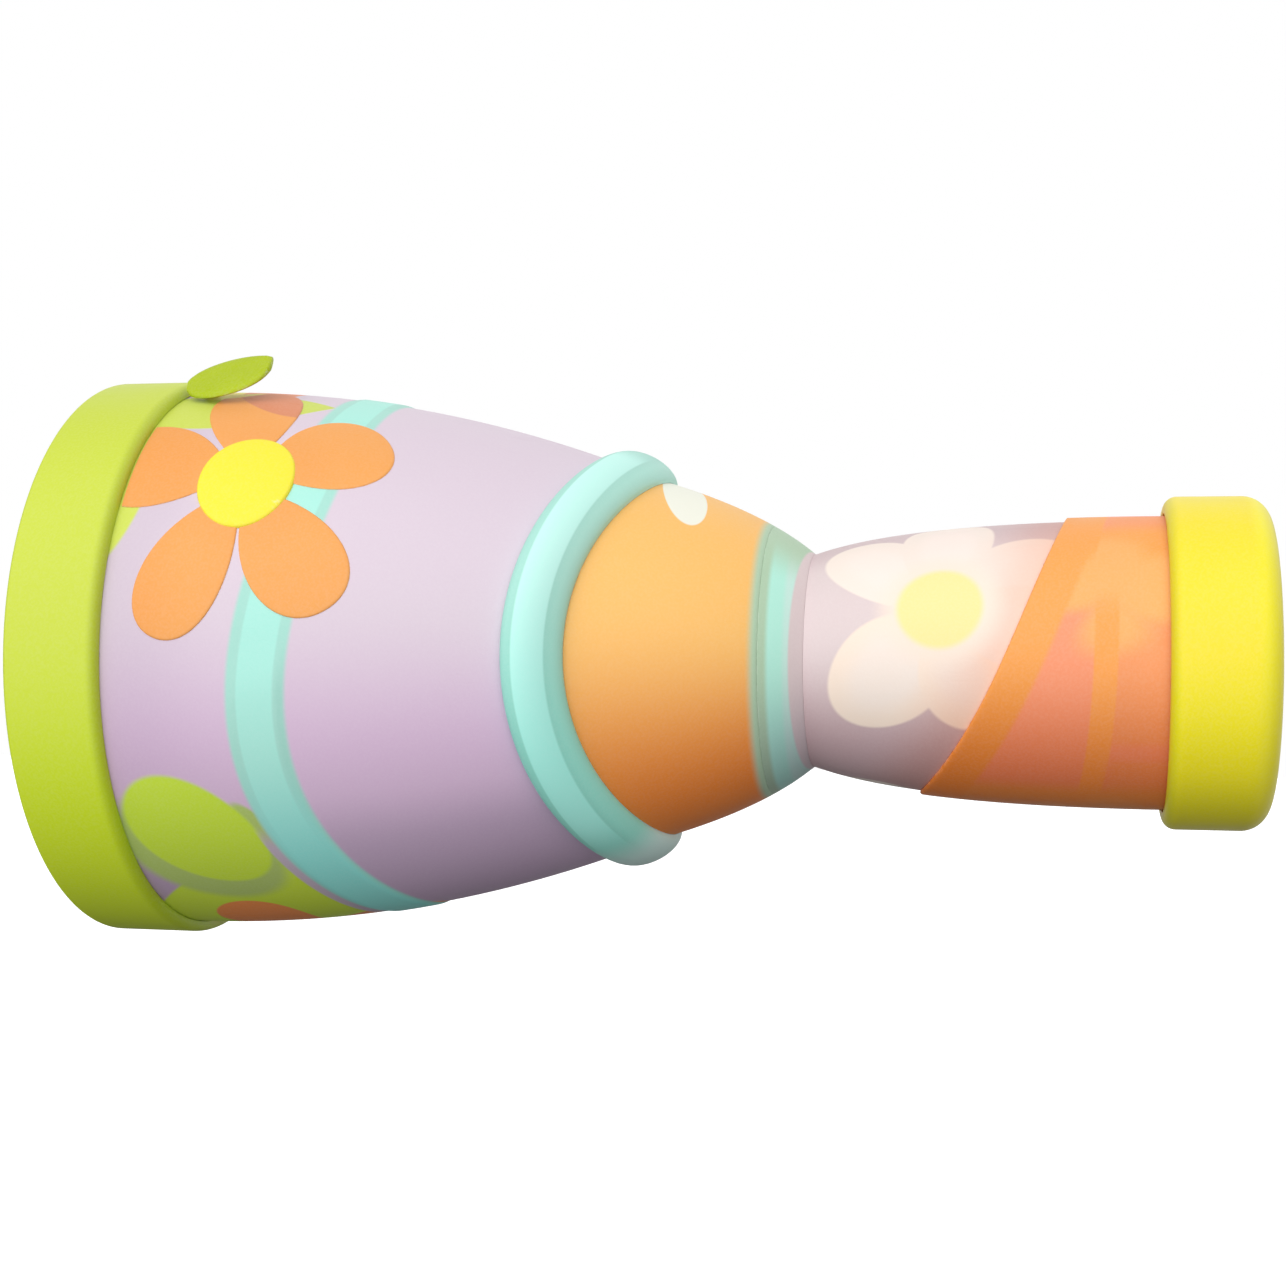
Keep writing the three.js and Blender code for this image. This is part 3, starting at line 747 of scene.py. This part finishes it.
def rim_material():
    s = Surface("lime_rim", LIME)
    # Painted shade: the lime turns to a deeper, shaded copy towards the underside.
    s.underside(LIME_SHADED, 15, -40, "MIX")
    # Painted shade on the rear fillet next to the shell.
    s.lay(s.ramp(s.x, RIM_END - 1.9, RIM_END - 0.7), RIM_REAR_SHADE_TINT, "MULTIPLY")
    return s.satin(0.44, LIME_WORN)


def cap_material():
    s = Surface("yellow_cap", YELLOW)
    # Painted shade: the yellow turns to a deeper, shaded copy towards the underside.
    s.underside(YELLOW_SHADED, 15, -25, "MIX")
    # More painted shade low down on the underside.
    s.lay(s.ramp(s.sine, -0.58, -0.88), CAP_LOW_SHADE_TINT, "MULTIPLY")
    # Painted shade on the front fillet.
    s.lay(s.ramp(s.x, CAP_X + 1.8, CAP_X + 0.5), CAP_FRONT_SHADE_TINT, "MULTIPLY")
    s.lay(s.ramp(s.x, LENGTH - 4.5, LENGTH - 2), YELLOW_END)
    return s.satin(0.42)


def petal_material():
    """Orange petals, deeper at the root, with a coral and an amber patch on the top one."""
    s = Surface("orange_petal", ORANGE)
    x, around = s.from_centre(FLOWER_X, FLOWER_ANGLE, FLOWER_R)
    reach = s.math("SQRT", s.add(s.mul(x, x), s.mul(around, around)))
    s.lay(s.ramp(reach, 16, 8), ORANGE_DEEP)
    # Painted shade: the petals darken towards the rim.
    s.lay(s.ramp(x, -4, -16), PETAL_RIM_SHADE_TINT, "MULTIPLY")
    s.petal(s.from_centre(31, 75, FLOWER_R), -52, -11, 13.5, 14, PATCH_CORAL, 0, 0.3)
    s.spot(s.from_centre(PATCH_X, PATCH_ANGLE, FLOWER_R), 7, 8.2, PATCH_AMBER, 0.3)
    return s.satin()


def leaf_material():
    s = Surface("leaf_green", LEAF_TAB)
    vein = s.noise(s.place, 260, 4, 0.6)
    s.lay(s.ramp(vein, 0.4, 0.65, 0.0, 0.25), LEAF_VEIN)
    return s.satin(specular=0.2)


def clear_material(name, tint, roughness, dust=0.1, passing=1.0, relief=0.1):
    """Clear or frosted acrylic with a fine haze. Passing is the share of light that goes through."""
    s = Surface(name, tint)
    haze = s.noise(s.place, 900, 4)
    s.lay(s.ramp(haze, 0.4, 0.7, 0.0, dust), HAZE)
    s.feed(s.shader.inputs["Base Color"], s.colour)
    s.shader.inputs["Transmission Weight"].default_value = passing
    s.shader.inputs["IOR"].default_value = 1.49
    s.feed(s.shader.inputs["Roughness"], s.ramp(haze, 0.3, 0.75, roughness, roughness + 0.08))
    s.bump(s.mul(haze, 0.2), relief)
    return s.material


def matt_material(name, base, light, scale, roughness=0.85, height=0.6):
    """Flocked card, foam and felt: a fine two-tone grain with a rough, pitted surface."""
    s = Surface(name, base)
    pits = s.noise(s.place, scale, 6, 0.3)
    s.lay(s.ramp(pits, 0.35, 0.7), light)
    s.feed(s.shader.inputs["Base Color"], s.colour)
    s.feed(s.shader.inputs["Roughness"], s.ramp(pits, 0.3, 0.8, roughness - 0.1, roughness + 0.08))
    s.shader.inputs["Specular IOR Level"].default_value = 0.2
    s.bump(s.mul(pits, height), 0.6)
    return s.material


def mirror_material():
    s = Surface("silvered_strip", SILVER)
    haze = s.noise(s.place, 300, 5, 0.5)
    s.lay(s.ramp(haze, 0.55, 0.75, 0.0, 0.3), SILVER_HAZE)
    s.feed(s.shader.inputs["Base Color"], s.colour)
    s.shader.inputs["Metallic"].default_value = 1.0
    s.feed(s.shader.inputs["Roughness"], s.ramp(haze, 0.5, 0.8, 0.03, 0.16))
    s.bump(s.mul(haze, 0.05), 0.1)
    return s.material


# ---------------------------------------------------------------- the outer shells


def shell_place(x, r, angle):
    """Sways the shell's end and raises the stripe, which dies out under the flower."""
    new_x = x + sway(SEAM_WAVES, angle) * smoothstep(x, SHELL_SWAY_X, SEAM_X)
    rise = 0.0
    outside = r > radius_at(SHELL_CURVE, x) - WALL / 2
    if x > SHELL_SWAY_X:
        r += radius_at(SHELL_CURVE, new_x) - radius_at(SHELL_CURVE, x)
    if outside and x > RIM_END:
        off = abs(new_x - STRIPE_X - sway(STRIPE_WAVES, angle))
        rise = STRIPE_RISE * (1 - smoothstep(off, STRIPE_HALF - 1.3, STRIPE_HALF + 0.3))
        around = math.remainder(angle - math.radians(FLOWER_ANGLE), 2 * math.pi) * FLOWER_R
        rise *= smoothstep(math.hypot(new_x - FLOWER_X, around), *FLOWER_CLEAR)
    return new_x, r + rise


def build_shell():
    bore = 43.3
    mouth = eased(
        [
            (24, bore - 0.2), (5.3, bore), (5.3, 44.8), (5.8, 45.2), (8.3, 45.2), (8.3, 44.35),
            (11.3, 44.35), (11.3, 45.2), (15, SHELL_R),
        ],
        0.2,
        closed=False,
    )
    outer = stations(SHELL_CURVE, 15.5, SEAM_X - 0.35, 170)
    edge = [(SEAM_X, radius_at(SHELL_CURVE, SEAM_X) - 0.35)]
    inner = stations(SHELL_CURVE, 25, SEAM_X, 16, -WALL)[::-1]
    points, faces = revolve([*mouth, *outer, *edge, *inner], ROUND, shell_place)
    make_piece("shell_painted", points, faces, shell_material(), "barrel", ["front_shell"])


def cone_place(x, r, angle):
    """Sways the cone's front edge along with the seam."""
    start = SEAM_X + 0.4
    new_x = x + sway(SEAM_WAVES, angle) * (1 - smoothstep(x, start, CONE_SWAY_X))
    if x < CONE_SWAY_X:
        r += radius_at(CONE_CURVE, new_x) - radius_at(CONE_CURVE, x)
    return new_x, r


def build_cone():
    start = SEAM_X + 0.4
    rear = NECK_RING_X - 0.02
    outer = stations(CONE_CURVE, start + 0.3, rear - 0.05, 56)
    inner = stations(CONE_CURVE, start, 103.5, 12, -WALL)[::-1]
    edge = [(start, radius_at(CONE_CURVE, start) - 0.35)]
    back = [
        (rear, radius_at(CONE_CURVE, rear) - 0.05), (rear, NECK_BORE + 0.2), (rear - 0.2, NECK_BORE),
        (107, NECK_BORE),
    ]
    points, faces = revolve([*edge, *outer, *back, *inner], ROUND, cone_place)
    make_piece("cone_painted", points, faces, cone_material(), "barrel", ["centre_cone"])


def build_band():
    """Domed band over the seam, drawn as (offset from the seam, height) and then laid on."""
    half, height, edge, ridge = 4.3, 3.0, 0.35, 100
    dome = [
        (half * math.cos(a), ridge + edge + (height - edge) * math.sin(a))
        for a in steps(math.pi, 0, 28)
    ]
    base = [(offset, ridge - 1) for offset in (half - 0.1, 2.2, 0, -2.2, 0.1 - half)]

    def place(offset, raised, angle):
        centre = SEAM_X + sway(SEAM_WAVES, angle)
        x = centre + offset
        if raised < ridge:
            surface = radius_at(SHELL_CURVE if offset < 1 else CONE_CURVE, x)
            return x, surface + 0.05
        left = radius_at(SHELL_CURVE, centre - half)
        right = radius_at(CONE_CURVE, centre + half)
        chord = left + (right - left) * (offset + half) / (2 * half)
        return x, chord + 0.3 + raised - ridge

    points, faces = revolve([*base, *dome], ROUND, place)
    make_piece("band_soft", points, faces, band_material(), "barrel", ["trim_band"])


def build_neck():
    start, end = NECK_RING_X, NECK_X
    outer = stations(CONE_CURVE, start + 0.05, end - 0.05, 20)
    low = (start, radius_at(CONE_CURVE, start) - 0.05)
    high = (end, radius_at(CONE_CURVE, end) - 0.02)
    points, faces = revolve([low, *outer, high, (end, NECK_BORE), (start, NECK_BORE)])
    make_piece("neck_soft", points, faces, neck_material(), "barrel", ["neck_ring"])


def build_grip():
    collar = NECK_X + 0.03
    spigot = eased([(124, 15.15), (107.6, 15.15), (107.6, 16.4), (collar, 16.4)], 0.2, closed=False)
    outer = [(collar, 17.27), *stations(GRIP_CURVE, 118.65, GRIP_END - 0.2, 80)]
    inner = stations(GRIP_CURVE, 128, GRIP_END, 12, -WALL)[::-1]
    points, faces = revolve([*spigot, *outer, *inner])
    make_piece("grip_painted", points, faces, grip_material(), "barrel", ["grip_tube"])


def build_wrap():
    under, top = 0.04, 0.65

    def place(x, r, angle):
        new_x = x + sway(WRAP_WAVES, angle) * (WRAP_END - x) / (WRAP_END - WRAP_X)
        return new_x, r + radius_at(GRIP_CURVE, new_x) - radius_at(GRIP_CURVE, x)

    inner = stations(GRIP_CURVE, WRAP_X + 0.05, WRAP_END, 12, under)
    outer = stations(GRIP_CURVE, WRAP_X + 0.3, WRAP_END, 50, top)[::-1]
    start = radius_at(GRIP_CURVE, WRAP_X)
    lip = [(WRAP_X + 0.1, start + top - 0.1), (WRAP_X, start + 0.35)]
    points, faces = revolve([*inner, *outer, *lip], ROUND, place)
    make_piece("sleeve_printed", points, faces, wrap_material(), "barrel", ["grip_wrap"])


def build_cap():
    bore, inside, pocket = 23.8, 179.7, 183.2
    outline = [
        (inside - 2, bore), (CAP_X + 3, bore - 0.35), (CAP_X + 0.15, bore - 0.35), (CAP_X, bore - 0.2),
        *arc(CAP_X + 2, CAP_R - 2, 2, 180, 90),
        *((x, CAP_R) for x in steps(CAP_X + 2.6, LENGTH - 4.9, 6)),
        *arc(LENGTH - 4.3, CAP_R - 4.3, 4.3, 90, 0, 16),
        *arc(LENGTH - 0.8, 18.3, 0.8, 0, -60, 4),
        (LENGTH - 1.4, 14.5), (LENGTH - 2.0, 11), (LENGTH - 2.6, 8.6),
        *arc(LENGTH - 3.2, 7.6, 0.6, 60, -90, 5)[1:],
        (pocket + 0.2, 7), (pocket, 7.2), (pocket, 12), (inside, 12), (inside, bore),
    ]
    points, faces = revolve(outline)
    make_piece("cap_soft", points, faces, cap_material(), "barrel", ["eyepiece_cap"])


def build_rim():
    lip, bore, bead, window = 2.1, 45.65, 44.8, 38.4
    front, rear = 0.8, 1.5
    outline = [
        (0.3, window), (0.05, window + 0.3), (0, window + 0.8),
        *arc(front, RIM_R - front, front, 180, 90, 8),
        (4, RIM_R), (7, RIM_R), (10, RIM_R),
        *arc(RIM_END - rear, RIM_R - rear, rear, 90, 0, 8),
        (RIM_END, SHELL_R + 0.1), (RIM_END - 0.1, SHELL_R + 0.05), (RIM_END - 0.6, SHELL_R + 0.05),
        (RIM_END - 1.2, bore), (10.9, bore), (10.5, bead + 0.1), (10.2, bead), (9.4, bead), (9.1, bead + 0.1),
        (8.7, bore), (lip, bore), (lip, window),
    ]
    points, faces = revolve(outline)
    make_piece("rim_soft", points, faces, rim_material(), "object_cell", ["cell_rim"])


# ---------------------------------------------------------------- flower and leaf


def on_shell(u, v, height):
    """Point over the shell's surface, u along X and v round it from the flower's middle."""
    x = max(FLOWER_X + u, RIM_END + 0.4)
    angle = math.radians(FLOWER_ANGLE) + v / FLOWER_R
    base = radius_at(SHELL_CURVE, x) if x > 15 else SHELL_R
    return at(x, base + height, angle)


def cushion(outline, centre, top, crown, low=0.02, rings=10):
    """Closed thin pad over the shell with rounded edges and a slight crown."""
    count = len(outline)
    edge = 0.45
    points, faces = [], []
    mid = Vector(centre)
    shape = [Vector(p) for p in outline]

    def add_ring(scale, inset, height):
        for p in shape:
            q = mid + (p - mid) * scale
            toward = mid - p
            q += toward.normalized() * inset if toward.length > 0 else Vector((0, 0))
            points.append(on_shell(q.x, q.y, height))

    for step in range(5):
        a = math.pi / 2 * step / 4
        add_ring(1, edge * (1 - math.cos(a)), low + (top - low) * math.sin(a))
    for k in range(1, rings):
        scale = 1 - k / rings
        add_ring(scale, edge * scale, top + crown * (1 - scale * scale))
    total = 5 + rings - 1
    for k in range(total - 1):
        for i in range(count):
            n = (i + 1) % count
            a, b = k * count + i, k * count + n
            faces.append((a, b, b + count, a + count))
    tip = len(points)
    points.append(on_shell(mid.x, mid.y, top + crown))
    last = (total - 1) * count
    faces += [(last + i, last + (i + 1) % count, tip) for i in range(count)]
    under = len(points)
    for scale in (0.66, 0.33):
        add_ring(scale, 0, low)
    base = len(points)
    points.append(on_shell(mid.x, mid.y, low))
    for i in range(count):
        n = (i + 1) % count
        faces.append((n, i, under + i, under + n))
        faces.append((under + n, under + i, under + count + i, under + count + n))
        faces.append((under + count + n, under + count + i, base))
    if volume(points, faces) < 0:
        faces = [face[::-1] for face in faces]
    return points, faces


def petal_outline(turn_deg, length, width):
    """Egg-shaped outline of a raised petal and the middle of its wide end, round the flower's middle."""
    root = 4
    reach = length - root
    side = ((root, -0.1 * width), (root + 0.45 * reach, -0.75 * width), (length, -0.6 * width), (length, 0))
    half = [bezier(side, t) for t in steps(0, 1, 36)]
    loop = half + [(x, -y) for x, y in half[-2::-1]]
    c, s = math.cos(math.radians(turn_deg)), math.sin(math.radians(turn_deg))
    turned = [(x * c - y * s, x * s + y * c) for x, y in loop]
    middle = (root + 0.6 * reach) * c, (root + 0.6 * reach) * s
    return turned, middle


def build_flower():
    material = petal_material()
    for i, (turn, length, width) in enumerate(PETALS, 1):
        outline, middle = petal_outline(turn, length, width)
        points, faces = cushion(outline, middle, 0.22, 0.1)
        make_piece(f"petal_{i}", points, faces, material, "barrel", [f"flower_petal_{i}"])
    ellipse = [
        (DISC_X * math.cos(a), DISC_ARC * math.sin(a)) for a in steps(0, 2 * math.pi, 96)[:-1]
    ]
    points, faces = cushion(ellipse, (0, 0), 0.5, 0.2)
    disc = Surface("flower_disc_yellow", DISC_YELLOW).satin()
    make_piece("flower_disc", points, faces, disc, "barrel", ["flower_centre"])


def leaf_edge(s, upper):
    """Point on the leaf's upper or lower edge, at s from 0 at its root to 1 at its tip."""
    length, far, near = 15.3, 3.9, 5.3
    if upper:
        curve = ((0, 0.5), (0, 1.25 * far), (0.6 * length, 1.4 * far), (length, 1.1))
    else:
        curve = ((0, -0.5), (-0.01 * length, -1.08 * near), (0.97 * length, -1.65 * near), (length, -0.8))
    return bezier(curve, s)


def build_leaf():
    """Leaf tab: a thin bowed blade with a soft midrib, and its foot."""
    thick, along, across = 1.2, 40, 16
    turn = Euler((math.radians(45), 0, 0)).to_matrix()
    tilt = Euler((0, math.radians(-15.3), 0)).to_matrix()
    root = Vector((16.0, -15.6, 44.0))

    def blade(s, t, side):
        """s runs along the leaf, t across it from -1 to 1, side is 1 on top and 0 below."""
        x0, low = leaf_edge(s, False)
        x1, high = leaf_edge(s, True)
        mix = (t + 1) / 2
        u, v = x0 + (x1 - x0) * mix, low + (high - low) * mix
        bulge = max(0.0, 1 - t**6) ** 0.5 * min(1.0, 9 * s + 0.35) * min(1.0, 9 * (1 - s) + 0.5)
        rib = 0.1 * math.exp(-((v / 0.35) ** 2)) * side
        z = thick / 2 + (thick / 2) * bulge * (1 if side else -1) - rib * bulge
        return (tilt @ (turn @ Vector((u, v, z))) + root) * MM

    points, faces = [], []
    loop = [(-math.cos(math.pi * k / across), 1) for k in range(across + 1)]
    loop += [(math.cos(math.pi * k / across), 0) for k in range(1, across)]
    count = len(loop)
    marks = [0.5 - 0.5 * math.cos(math.pi * i / along) for i in range(1, along)]
    for s in marks:
        points.extend(blade(s, t, side) for t, side in loop)
    for k in range(len(marks) - 1):
        for i in range(count):
            n = (i + 1) % count
            a, b = k * count + i, k * count + n
            faces.append((a, b, b + count, a + count))
    for first, s in ((0, 0.0), ((len(marks) - 1) * count, 1.0)):
        tip = len(points)
        points.append(blade(s, 0, 1) * 0.5 + blade(s, 0, 0) * 0.5)
        ring = [first + i for i in range(count)]
        fan = [(ring[(i + 1) % count], ring[i], tip) for i in range(count)]
        faces += fan if s == 0 else [f[::-1] for f in fan]
    if volume(points, faces) < 0:
        faces = [face[::-1] for face in faces]
    material = leaf_material()
    make_piece("leaf_blade", points, faces, material, "barrel", ["leaf_tab"])
    build_leaf_foot(material)


def build_leaf_foot(material):
    """Short round peg that stands on the shell under the leaf."""
    foot = [(0.15, 0), (0.15, 1.1), (0.5, 1.3), (1.0, 1.1), (1.8, 1.0), (2.6, 0.95), (2.7, 0)]
    points, faces = revolve(foot, 32)
    lean = math.radians(17.5)
    out = Vector((0, -math.sin(lean), math.cos(lean)))
    basis = Matrix((Vector((1, 0, 0)), out.cross(Vector((1, 0, 0))), out)).transposed()
    stand = Matrix(((0, 0, -1), (0, 1, 0), (1, 0, 0)))
    points = [basis @ (stand @ p) + (Vector((19.2, 0, 0)) + out * SHELL_R) * MM for p in points]
    if volume(points, faces) < 0:
        faces = [face[::-1] for face in faces]
    make_piece("leaf_foot", points, faces, material, "barrel")


# ---------------------------------------------------------------- the object cell and the optics


def build_round_parts():
    """The parts inside that are turned about the optical axis.

    A row's shape is an outline, or a ring's bore, or None for a plain window.
    """
    clear = clear_material("clear_acrylic", CLEAR, 0.03)
    frosted = clear_material("frosted_acrylic", FROSTED, 0.1, dust=0.13, passing=0.82, relief=0.01)
    black = matt_material("flocked_black", (0.012, 0.012, 0.014, 1), (0.03, 0.03, 0.033, 1), 1500)
    felt = matt_material("pressed_felt", (0.6, 0.56, 0.48, 1), (0.75, 0.71, 0.63, 1), 1200)
    _, seat, lens_r = span("front_lens")
    step_x, step_r = 2.4, 38
    lens = [
        (0, 0), (0, step_r - 0.4), (0.4, step_r), (step_x, step_r), (step_x, lens_r - 0.2),
        (step_x + 0.2, lens_r), (seat - 0.2, lens_r), (seat, lens_r - 0.2), (seat, 0),
    ]
    cup_bore, cup_r = 41.5, 42.9
    cup = eased(
        [
            (CUP_X, cup_bore), (CUP_X, CUP_FLANGE_R), (seat, CUP_FLANGE_R), (seat, cup_r), (CUP_END, cup_r),
            (CUP_END, cup_bore),
        ],
        0.2,
    )
    rows = [
        ("lens_front", "front_lens", lens, frosted, "frosted"),
        ("cup_cell", "cell_cup", cup, clear, "clear"),
        ("spacer_cell", "cell_spacer", 39.6, black, "black"),
        ("window_rear", "rear_window", None, clear, "clear"),
        ("retainer_rear", "window_retainer", 38.6, black, "black"),
        ("washer_slip", "slip_washer", 43.3, felt, "felt"),
        ("tube_mirror", "mirror_tube", 14, black, "black"),
        ("baffle_front", "front_baffle", 15.1, black, "black"),
        ("ring_centring", "rear_centring_ring", 15.1, black, "black"),
        ("stop_field", "field_stop", 6.5, black, "black"),
        ("retainer_eye", "eye_retainer", 7.6, black, "black"),
        ("window_eye", "eye_window", None, clear, "clear"),
    ]
    turning = ("front_lens", "cell_cup", "cell_spacer", "rear_window", "window_retainer")
    for name, node, shape, material, slot in rows:
        if shape is None:
            shape = pane_outline(node)
        elif not isinstance(shape, list):
            shape = ring_outline(node, shape)
        points, faces = revolve(shape, INNER_ROUND)
        body = "object_cell" if node in turning else "barrel"
        make_piece(name, points, faces, material, body, [node])


CHIP_COLOURS = {
    "triangle": ("ruby", (0.85, 0.02, 0.06, 1)),
    "star": ("cobalt", (0.02, 0.1, 0.75, 1)),
    "disc": ("amber", (0.95, 0.35, 0.01, 1)),
    "hexagon": ("emerald", (0.01, 0.5, 0.12, 1)),
    "square": ("magenta", (0.75, 0.03, 0.45, 1)),
    "heart": ("violet", (0.2, 0.04, 0.7, 1)),
    "ring": ("turquoise", (0.01, 0.5, 0.6, 1)),
    "diamond": ("lemon", (0.9, 0.8, 0.02, 1)),
}


def finish_cad_nodes():
    """Materials for the CAD nodes whose shape is already right."""
    silver = mirror_material()
    foam = matt_material("open_cell_foam", (0.02, 0.02, 0.022, 1), (0.09, 0.09, 0.1, 1), 900, 0.9, 1.0)
    finishes = {}
    for i in (1, 2, 3):
        finishes[f"mirror_{i}"] = (silver, "mirror")
        finishes[f"mirror_pad_{i}"] = (foam, "foam")
    for shape, (slot, tint) in CHIP_COLOURS.items():
        material = clear_material(f"tinted_{slot}", tint, 0.06, 0.05)
        finishes[f"chip_{shape}"] = (material, slot)
    for node, (material, slot) in finishes.items():
        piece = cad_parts[node]
        piece.data.materials.clear()
        piece.data.materials.append(material)


# ---------------------------------------------------------------- stage, light and camera


def build_stage():
    """Pale floor well below the toy, so that no shadow of it reaches the picture."""
    low = CAD_BOX[0]
    half, drop = 6.0, 0.3
    corners = [(x, y, low.z - drop) for x, y in ((-half, -half), (half, -half), (half, half), (-half, half))]
    mesh = bpy.data.meshes.new("floor")
    mesh.from_pydata(corners, [], [(0, 1, 2, 3)])
    s = Surface("pale_floor", (0.9, 0.9, 0.9, 1))
    s.lay(s.ramp(s.noise(s.place, 30, 4), 0.35, 0.65, 0.0, 0.5), (0.86, 0.86, 0.86, 1))
    s.feed(s.shader.inputs["Base Color"], s.colour)
    s.shader.inputs["Roughness"].default_value = 0.9
    s.shader.inputs["Emission Color"].default_value = (1, 1, 1, 1)
    s.shader.inputs["Emission Strength"].default_value = 0.55
    mesh.materials.append(s.material)
    floor = bpy.data.objects.new("floor", mesh)
    bpy.context.scene.collection.objects.link(floor)
    floor.visible_diffuse = False
    floor.visible_glossy = False


def build_light():
    """White studio: soft light from in front and a weaker one from behind, over a dim fill."""
    world = bpy.data.worlds.new("studio")
    bpy.context.scene.world = world
    world.use_nodes = True
    n = Nodes(world.node_tree)
    n.tree.nodes.clear()
    sky = n.new("ShaderNodeTexCoord").outputs["Generated"]

    def facing(direction):
        node = n.new("ShaderNodeVectorMath", operation="DOT_PRODUCT")
        n.feed(node.inputs[0], sky)
        node.inputs[1].default_value = Vector(direction).normalized()
        return node.outputs["Value"]

    light = n.ramp(facing((0, 0, 1)), FILL_START, 1.0, FILL_LOW, FILL_HIGH)
    for direction, edge, strength in (FRONT_LIGHT, BACK_LIGHT):
        light = n.add(light, n.ramp(facing(direction), edge, 1.0, 0.0, strength))
    studio = n.new("ShaderNodeBackground")
    studio.inputs["Color"].default_value = (1, 1, 1, 1)
    n.feed(studio.inputs["Strength"], light)
    seen = n.new("ShaderNodeBackground")
    seen.inputs["Strength"].default_value = 1.0
    seen.inputs["Color"].default_value = (1, 1, 1, 1)
    path = n.new("ShaderNodeLightPath")
    choose = n.new("ShaderNodeMixShader")
    n.feed(choose.inputs[0], path.outputs["Is Camera Ray"])
    n.feed(choose.inputs[1], studio.outputs[0])
    n.feed(choose.inputs[2], seen.outputs[0])
    n.feed(n.new("ShaderNodeOutputWorld").inputs["Surface"], choose.outputs[0])


def build_camera():
    """Level view of the side, a little to the eyepiece's end of the middle."""
    data = bpy.data.cameras.new("camera")
    data.lens = CAMERA_LENS
    data.sensor_width = CAMERA_SENSOR
    data.clip_start = 0.01
    data.clip_end = 20
    camera = bpy.data.objects.new("camera", data)
    yaw, pitch, roll = (math.radians(turn) for turn in (CAMERA_YAW, CAMERA_PITCH, CAMERA_ROLL))
    ahead = Vector((-math.sin(yaw) * math.cos(pitch), math.cos(yaw) * math.cos(pitch), math.sin(pitch)))
    right = Vector((math.cos(yaw), math.sin(yaw), 0))
    up = right.cross(ahead)
    axis_x = right * math.cos(roll) + up * math.sin(roll)
    axis_y = up * math.cos(roll) - right * math.sin(roll)
    turn = Matrix((axis_x, axis_y, -ahead)).transposed().to_4x4()
    camera.matrix_world = Matrix.Translation(CAMERA_PLACE) @ turn
    bpy.context.scene.collection.objects.link(camera)
    bpy.context.scene.camera = camera


build_shell()
build_cone()
build_band()
build_neck()
build_grip()
build_wrap()
build_cap()
build_rim()
build_flower()
build_leaf()
build_round_parts()
finish_cad_nodes()
build_stage()
build_light()
build_camera()
bpy.context.scene.view_settings.view_transform = "Standard"
